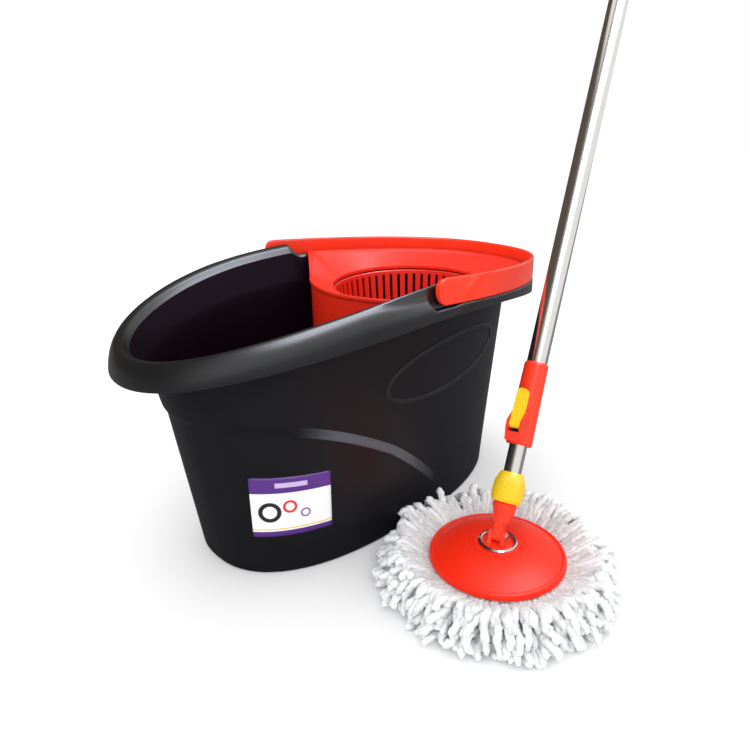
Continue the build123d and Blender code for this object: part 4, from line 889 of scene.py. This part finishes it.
# The profile's lobes and the swell at the tip reach past half the thickness.
FLOOR_CLEARANCE = 1.15
where = add(grower, SEPARATE, (add(grower, POSITION),), out=None).outputs
x_squared = add(grower, MATH, (where["X"], where["X"]), operation="MULTIPLY")
radial = add(grower, MATH, (where["Y"], where["Y"], x_squared), operation="MULTIPLY_ADD")
radial = add(grower, MATH, (radial,), operation="SQRT")
pull = add(grower, MATH, (given["Reach"], radial), operation="DIVIDE")
pull = add(grower, MATH, (pull, 1.0), operation="MINIMUM")
half = add(grower, MATH, (given["Thickness"], 0.5), operation="MULTIPLY")
under_disc = add(grower, MATH, (given["Disc Height"], half), operation="SUBTRACT")
disc_edge = add(grower, MATH, (given["Disc Radius"], half), operation="ADD")
past_disc = add(grower, MATH, (radial, disc_edge), operation="SUBTRACT")
past_disc = add(grower, MATH, (past_disc, 0.0), operation="MAXIMUM")
ceiling = add(grower, MATH, (past_disc, DISC_EDGE_CLIMB, under_disc), operation="MULTIPLY_ADD")
ground = add(grower, MATH, (half, FLOOR_CLEARANCE), operation="MULTIPLY")
height = add(grower, MATH, (where["Z"], ceiling), operation="MINIMUM")
height = add(grower, MATH, (height, ground), operation="MAXIMUM")
kept = add(grower, COMBINE, (add(grower, MATH, (where["X"], pull), operation="MULTIPLY"),
                             add(grower, MATH, (where["Y"], pull), operation="MULTIPLY"), height))
curves = add(grower, SET_POSITION, {"Geometry": curves, "Position": kept})
print("limits", len(grower.nodes), "nodes so far")

# %% [markdown]
# The strand's radius swells a little from root to tip and closes in a round end. Its profile has a
# lobe for each of the three plies, and the tilt along the curve twists them, which one mesh can show
# as well as three. The tree ends in Realize Instances and Set Material, as an exported one has to.

# %% Sweep the plies
PLIES, PROFILE_POINTS = 3, 9
LOBE_DEPTH, LOBE_MIDDLE = 0.13, 0.93
ROOT_SWELL, TIP_SWELL, SWELL_DONE = 0.8, 1.08, 0.6
TIP_FROM, TIP_LEAST = 0.9, 0.05
swell = add(grower, RANGE, {"Value": along["Factor"], "From Max": SWELL_DONE, "To Min": ROOT_SWELL,
                            "To Max": TIP_SWELL}, interpolation_type="SMOOTHSTEP")
tip = add(grower, RANGE, {"Value": along["Factor"], "From Min": TIP_FROM, "From Max": 1.0})
tip = add(grower, MATH, (tip, tip), operation="MULTIPLY")
tip = add(grower, MATH, (1.0, tip), operation="SUBTRACT")
tip = add(grower, MATH, (tip,), operation="SQRT")
tip = add(grower, MATH, (tip, TIP_LEAST), operation="MAXIMUM")
radius = add(grower, MATH, (swell, tip), operation="MULTIPLY")
radius = add(grower, MATH, (radius, half), operation="MULTIPLY")
turns = add(grower, MATH, (along["Length"], given["Twist Pitch"]), operation="DIVIDE")
turns = add(grower, MATH, (turns, tau), operation="MULTIPLY")
curves = add(grower, "GeometryNodeSetCurveTilt", {"Curve": curves, "Tilt": turns})
around = add(grower, SPLINE)
lobe = add(grower, MATH, (around, tau * PLIES), operation="MULTIPLY")
lobe = add(grower, MATH, (lobe,), operation="COSINE")
lobe = add(grower, MATH, (lobe, LOBE_DEPTH, LOBE_MIDDLE), operation="MULTIPLY_ADD")
spread = add(grower, VECTOR_MATH, {0: add(grower, POSITION), "Scale": lobe}, operation="SCALE")
profile = add(grower, "GeometryNodeCurvePrimitiveCircle", {"Resolution": PROFILE_POINTS, "Radius": 1.0})
profile = add(grower, SET_POSITION, {"Geometry": profile, "Position": spread})
sweep = add(grower, "GeometryNodeCurveToMesh", {"Curve": curves, "Profile Curve": profile, "Scale": radius,
                                                "Fill Caps": True})
sweep = add(grower, "GeometryNodeSetShadeSmooth", {"Geometry": sweep})
sweep = add(grower, REALIZE, (sweep,))
sweep = add(grower, "GeometryNodeSetMaterial", {"Geometry": sweep, "Material": given["Material"]})
add(grower, "NodeGroupOutput", {"Geometry": sweep}, out=None)
print(len(grower.nodes), "nodes in the layer tree")

# %% [markdown]
# Microfibre yarn is nearly white and dull. Light soaks into it, which softens its shadows, and its
# fuzz gives a faint sheen and breaks up the surface. Loose hairs could be grown too, but they would
# be lost in the export. The fibres are far finer than 0.6 mm, and drawn at that so that they show.

# %% Yarn material
FIBRE_WIDTH, SOILING_WIDTH = 0.625 * MM, 22.22 * MM
YARN, yarn_nodes, yarn_shader = new_material("twisted white microfibre")
yarn_place = add(yarn_nodes, COORDINATES, out="Object")
fibre = add(yarn_nodes, NOISE, {
    "Vector": yarn_place, "Scale": 1 / FIBRE_WIDTH, "Detail": 4.0, "Roughness": 0.7})
patch = add(yarn_nodes, NOISE, {"Vector": yarn_place, "Scale": 1 / SOILING_WIDTH, "Detail": 2.0})
connect(yarn_shader, {
    "Base Color": add(yarn_nodes, MIX, {0: patch, 6: linear("#F1F3F6"), 7: linear("#FBFCFE")}, **OF_COLOURS),
    "Roughness": add(yarn_nodes, RANGE, {"Value": fibre, "To Min": 0.85, "To Max": 1.0}),
    "Normal": add(yarn_nodes, BUMP, {"Height": fibre, "Distance": 0.5 * MM, "Strength": 0.6}),
    "Subsurface Weight": 0.5, "Subsurface Radius": (1.0, 1.0, 1.0), "Subsurface Scale": 3 * MM,
    "Sheen Weight": 0.1, "Sheen Roughness": 0.5, "IOR": 1.5})
print("yarn finish", len(yarn_nodes.nodes), "nodes")

# %% [markdown]
# The tree now grows each of the four layers. It needs an object to run on, so a carrier takes it as
# a modifier, hands over its evaluated mesh and goes. The layers could stay four objects; one mesh is
# one piece on the mop's head, as the real ring of yarn is.

# %% Grow the four layers into one piece


def grow(name, tree, values):
    """Runs a tree on an empty object and returns its plain mesh."""
    carrier = bpy.data.objects.new(name, bpy.data.meshes.new(name))
    bpy.context.collection.objects.link(carrier)
    modifier = carrier.modifiers.new("grow", "NODES")
    modifier.node_group = tree
    for item in tree.interface.items_tree:
        if item.in_out == "INPUT":
            modifier[item.identifier] = values[item.name]
    evaluated = carrier.evaluated_get(bpy.context.evaluated_depsgraph_get())
    mesh = bpy.data.meshes.new_from_object(evaluated)
    bpy.data.objects.remove(carrier)
    return mesh


mop_centre = joint_place["disc_spin"].copy()
mop_centre.z = 0.0
ALL_LAYERS = {"Strands": 112, "Samples": 22, "Tuft Size": 5, "Thickness": 7.6 * MM, "Twist Pitch": 26 * MM,
              "Root Radius": 60 * MM, "Disc Radius": 65.5 * MM, "Disc Height": 27.0 * MM, "Material": YARN}
LAYER_SIZES = ("Root Height", "Arch Height", "Reach", "Tip Height", "Wander")
# Seed, then the sizes in mm, from the upper layer down.
LAYERS = ((11, (20, 44, 108, 34, 42)), (23, (16, 34, 113, 20, 44)),
          (31, (12, 22, 118, 9, 44)), (37, (9, 10, 119, 4, 38)))
joined = bmesh.new()
for seed, sizes in LAYERS:
    own = {name: size * MM for name, size in zip(LAYER_SIZES, sizes)}
    grown = grow("yarn layer", grower, {**ALL_LAYERS, **own, "Seed": seed})
    joined.from_mesh(grown)
    bpy.data.meshes.remove(grown)
bmesh.ops.recalc_face_normals(joined, faces=joined.faces)
bmesh.ops.translate(joined, vec=mop_centre, verts=joined.verts)
yarn = as_piece(joined, "yarn_strands", YARN)
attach(yarn, "mop_head")
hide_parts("yarn")

# %% [markdown]
# ## Rim of the disc
# The mop's plate ends in a raised bead that stiffens its edge. A Screw modifier could turn its
# section round the swivel's axis. A loop does it here, because the piece has to sit at the origin
# with its place in its mesh.

# %% Disc rim
# Radius and height of the bead's section, in mm.
RIM_SECTION = ((60.6, 32.2), (61.0, 32.9), (61.8, 33.3), (63.0, 33.0), (64.2, 32.0), (65.0, 30.6),
               (65.2, 29.2), (65.0, 27.9), (64.4, 27.4), (63.6, 28.4), (62.6, 29.8))
RIM_TURN_STEPS = 128
bead = bmesh.new()
sections = []
for step in range(RIM_TURN_STEPS):
    angle = tau * step / RIM_TURN_STEPS
    sections.append([bead.verts.new(mop_centre + Vector((radius * cos(angle), radius * sin(angle), z)) * MM)
                     for radius, z in RIM_SECTION])
quads(bead, sections + [sections[0]])
bmesh.ops.recalc_face_normals(bead, faces=bead.faces)
for face in bead.faces:
    face.smooth = True
disc_rim = as_piece(bead, "disc_rim", DISC_RED)
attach(disc_rim, "mop_head")

# %% [markdown]
# ## Label
# A printed film sticks to the near wall, where such buckets carry one. An image texture or a
# projected plane could stand for it. A grid dropped on the wall along rays follows its curve, stays
# just clear of it, and has a thickness of its own.

# %% Label sheet
LABEL_CORNERS = {"top left": (-142, -63, 114), "top right": (-71, -95.5, 108),
                 "bottom right": (-70, -93, 45), "bottom left": (-139, -58, 46)}
LABEL_COLUMNS, LABEL_ROWS = 24, 18
LABEL_CLEAR, LABEL_THICKNESS, LABEL_RAY_START = 0.12 * MM, 0.12 * MM, 40 * MM
corner = {name: Vector(place) * MM for name, place in LABEL_CORNERS.items()}
down, across = corner["bottom left"] - corner["top left"], corner["top right"] - corner["top left"]
outward = down.cross(across).normalized()

sheet = bmesh.new()
u_layer = sheet.verts.layers.float.new("u")
v_layer = sheet.verts.layers.float.new("v")
grid = []
for row in range(LABEL_ROWS + 1):
    v = row / LABEL_ROWS
    grid.append([])
    for column in range(LABEL_COLUMNS + 1):
        u = column / LABEL_COLUMNS
        low = corner["bottom left"].lerp(corner["bottom right"], u)
        high = corner["top left"].lerp(corner["top right"], u)
        start = low.lerp(high, v) + outward * LABEL_RAY_START
        _, hit, facing, _ = bucket_skin.ray_cast(start, -outward)
        vert = sheet.verts.new(hit + facing * LABEL_CLEAR)
        vert[u_layer], vert[v_layer] = u, v
        grid[-1].append(vert)
quads(sheet, grid, closed=False)
bmesh.ops.recalc_face_normals(sheet, faces=sheet.faces)
sheet.normal_update()
if sum(face.normal.dot(outward) for face in sheet.faces) < 0:
    bmesh.ops.reverse_faces(sheet, faces=sheet.faces)
bmesh.ops.solidify(sheet, geom=sheet.faces[:], thickness=LABEL_THICKNESS)
for face in sheet.faces:
    face.smooth = True
print("label", len(sheet.faces), "faces, facing", [round(value, 2) for value in outward])

# %% [markdown]
# The print is a plain design of two bands, a thin line, a pale panel and three rings. "u" and "v" run
# across the sheet and up it. Noise of two widths keeps the film from looking perfectly even.

# %% Label print
PRINT_EDGE, RING_HOLE = 0.004, 0.62
LABEL_ASPECT = 1.22
FILM_PATCH_WIDTH, FILM_GLOSS_WIDTH = 16.67 * MM, 25 * MM
PURPLE, LILAC, VIOLET = "#5A2D86", "#C9B6DE", "#8E6BB4"
GOLD, RED, CHARCOAL = "#E8C21C", "#E2332A", "#26242B"
# Bottom and top of each band, and its colour.
PRINT_BANDS = ((0.74, 1.1, PURPLE), (-0.1, 0.09, PURPLE), (0.115, 0.135, GOLD))
# Middle across and up, radius and colour of each ring.
PRINT_RINGS = ((0.22, 0.42, 0.17, CHARCOAL), (0.47, 0.50, 0.11, RED), (0.66, 0.36, 0.08, VIOLET))
PANEL_ACROSS, PANEL_UP = (0.3, 0.7), (0.83, 0.91)


def between(value, low, high):
    """1 where low < value < high, with a printer's sharp edge."""
    rise = add(label_nodes, RANGE, {
        "Value": value, "From Min": low - PRINT_EDGE, "From Max": low + PRINT_EDGE})
    fall = add(label_nodes, RANGE, {
        "Value": value, "From Min": high - PRINT_EDGE, "From Max": high + PRINT_EDGE,
        "To Min": 1.0, "To Max": 0.0})
    return add(label_nodes, MATH, (rise, fall), operation="MULTIPLY")


def printed(below, where_inked, colour):
    """The colour below, covered with ink where where_inked is 1."""
    return add(label_nodes, MIX, {0: where_inked, 6: below, 7: linear(colour)}, **OF_COLOURS)


# Printed polypropylene film: flat colours under an even, soft gloss.
LABEL, label_nodes, label_shader = new_material("printed polypropylene film")
u = add(label_nodes, ATTRIBUTE, out="Fac", attribute_name="u")
v = add(label_nodes, ATTRIBUTE, out="Fac", attribute_name="v")
film_place = add(label_nodes, COORDINATES, out="Object")
film_patch, film_gloss = [
    add(label_nodes, NOISE, {"Vector": film_place, "Scale": 1 / width, "Detail": 3.0})
    for width in (FILM_PATCH_WIDTH, FILM_GLOSS_WIDTH)]
ink = add(label_nodes, MIX, {0: film_patch, 6: linear("#F2F1F4"), 7: linear("#FAFAFA")}, **OF_COLOURS)
for low, high, colour in PRINT_BANDS:
    ink = printed(ink, between(v, low, high), colour)
for middle_u, middle_v, size, colour in PRINT_RINGS:
    across = add(label_nodes, MATH, (u, middle_u), operation="SUBTRACT")
    across = add(label_nodes, MATH, (across, LABEL_ASPECT), operation="MULTIPLY")
    upward = add(label_nodes, MATH, (v, middle_v), operation="SUBTRACT")
    from_middle = add(label_nodes, COMBINE, (across, upward, 0.0))
    reach = add(label_nodes, VECTOR_MATH, (from_middle,), out="Value", operation="LENGTH")
    ink = printed(ink, between(reach, size * RING_HOLE, size), colour)
panel = add(label_nodes, MATH, (between(v, *PANEL_UP), between(u, *PANEL_ACROSS)), operation="MULTIPLY")
ink = printed(ink, panel, LILAC)
connect(label_shader, {
    "Base Color": ink, "IOR": 1.5,
    "Roughness": add(label_nodes, RANGE, {"Value": film_gloss, "To Min": 0.25, "To Max": 0.38})})
label = as_piece(sheet, "label", LABEL)
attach(label, "bucket")

# %% [markdown]
# ## Studio
# A pale floor meets a white surround, as on a product table. An image of a studio could light it;
# lamps and a world made of nodes need no file. The camera sees plain white. Matt surfaces get an even
# light from all round, and shiny ones see a surround that runs from a warm dark side to a near white
# side, which gives the steel its dark edge. Three soft lamps add the highlights and the soft shadow.

# %% Lamps
MIDDLE = Vector((0.02, -0.06, 0.15))


def soft_light(name, place, size, power, tint="#FFFFFF"):
    """Rectangular lamp that looks at the middle of the object."""
    data = bpy.data.lights.new(name, "AREA")
    data.shape = "RECTANGLE"
    data.size, data.size_y = size
    data.energy = power
    data.color = linear(tint)[:3]
    lamp = bpy.data.objects.new(name, data)
    bpy.context.collection.objects.link(lamp)
    lamp.location = place
    lamp.rotation_euler = (MIDDLE - Vector(place)).to_track_quat("-Z", "Y").to_euler()
    return lamp


# The key lamp shapes the forms. Gloss doesn't show it, where it would be a hard square.
key = soft_light("key", (-1.2, -1.3, 1.8), size=(1.0, 1.0), power=8)
key.visible_glossy = False
soft_light("top", (0.2, 0.3, 2.0), size=(1.4, 1.0), power=4)
# The edge strip is only seen in gloss, where it draws the long highlights on rim and bail.
edge_strip = soft_light("edge strip", (0.22, -0.74, 1.35), size=(1.8, 0.7), power=38, tint="#EEF2FF")
edge_strip.visible_diffuse = False
print("lamps", [lamp.name for lamp in bpy.data.lights])

# %% [markdown]
# Light Path says what kind of ray asks for the world's colour, so one world can be white to the
# camera and a bright and a dark side to the steel. The surround changes from dark to bright across a
# heading, with a smooth step between.

# %% World
BRIGHT_HEADING = radians(-72)
DARK_UP_TO, BRIGHT_FROM = -0.4, 0.35
AMBIENT_STRENGTH = 1.2
BACKGROUND, MIX_SHADER, LIGHT_PATH = "ShaderNodeBackground", "ShaderNodeMixShader", "ShaderNodeLightPath"
bright_side = Vector((cos(BRIGHT_HEADING), sin(BRIGHT_HEADING), 0.0))
world = bpy.data.worlds.new("studio")
bpy.context.scene.world = world
world.use_nodes = True
sky = world.node_tree
sky.nodes.clear()
ray = add(sky, LIGHT_PATH, out=None).outputs
direction = add(sky, COORDINATES, out="Generated")
side = add(sky, VECTOR_MATH, (direction, bright_side), out="Value", operation="DOT_PRODUCT")
brightness = add(sky, RANGE, {"Value": side, "From Min": DARK_UP_TO, "From Max": BRIGHT_FROM},
                 interpolation_type="SMOOTHSTEP")
surround = add(sky, MIX, {0: brightness, 6: linear("#544B40"), 7: linear("#F6F6F6")}, **OF_COLOURS)
mirrored = add(sky, BACKGROUND, {"Color": surround, "Strength": 1.0})
ambient = add(sky, BACKGROUND, {"Color": linear("#FFFFFF"), "Strength": AMBIENT_STRENGTH})
white = add(sky, BACKGROUND, {"Color": linear("#FFFFFF"), "Strength": 1.0})
seen = add(sky, MATH, (ray["Is Camera Ray"], ray["Is Transmission Ray"]), operation="MAXIMUM")
shown = add(sky, MIX_SHADER, (ray["Is Glossy Ray"], ambient, mirrored))
shown = add(sky, MIX_SHADER, (seen, shown, white))
add(sky, "ShaderNodeOutputWorld", {"Surface": shown}, out=None)
print("world", len(sky.nodes), "nodes")

# %% [markdown]
# The floor is a matt white table. It is a mid grey to shiny surfaces only, because the steel and the
# gloss of the black rim would wash out over white.

# %% Floor
TABLE_SIZE, TABLE_ROUGHNESS = 12.0, 0.9
TABLE, table_nodes, table_shader = new_material("matt white laminate")
in_gloss = add(table_nodes, LIGHT_PATH, out="Is Glossy Ray")
connect(table_shader, {
    "Roughness": TABLE_ROUGHNESS,
    "Base Color": add(table_nodes, MIX, {0: in_gloss, 6: linear("#FAFAFA"), 7: linear("#6E6E70")},
                      **OF_COLOURS)})
bpy.ops.mesh.primitive_plane_add(size=TABLE_SIZE, location=(0, 0, 0))
floor = bpy.context.object
floor.name = "floor"
floor.data.materials.append(TABLE)
print("floor", TABLE_SIZE, "m wide")

# %% [markdown]
# ## Camera
# It stands a little above the rim, off the bucket's near corner, so that the wringer, the label and
# the lean of the handle all show. A Track To constraint could aim it. Three angles do it here,
# because the camera also leans over by a degree.

# %% Camera
HEADING, PITCH, LEAN = radians(-42.07), radians(21.87), radians(-1.04)
EYE = Vector((-0.41199, -0.53851, 0.43027))
SENSOR_WIDTH, FOCAL_LENGTH = 36.0, 32.07984
back = Vector((sin(HEADING) * cos(PITCH), -cos(HEADING) * cos(PITCH), sin(PITCH)))
level = Vector((cos(HEADING), sin(HEADING), 0))
upright = back.cross(level)
right = cos(LEAN) * level + sin(LEAN) * upright
up = cos(LEAN) * upright - sin(LEAN) * level
camera_data = bpy.data.cameras.new("camera")
camera_data.sensor_width = SENSOR_WIDTH
camera_data.lens = FOCAL_LENGTH
camera = bpy.data.objects.new("camera", camera_data)
bpy.context.collection.objects.link(camera)
camera.matrix_world = Matrix.Translation(EYE) @ Matrix((right, up, back)).transposed().to_4x4()
bpy.context.scene.camera = camera
bpy.context.scene.view_settings.view_transform = "Standard"
print("camera", round(EYE.length, 2), "m from the origin")
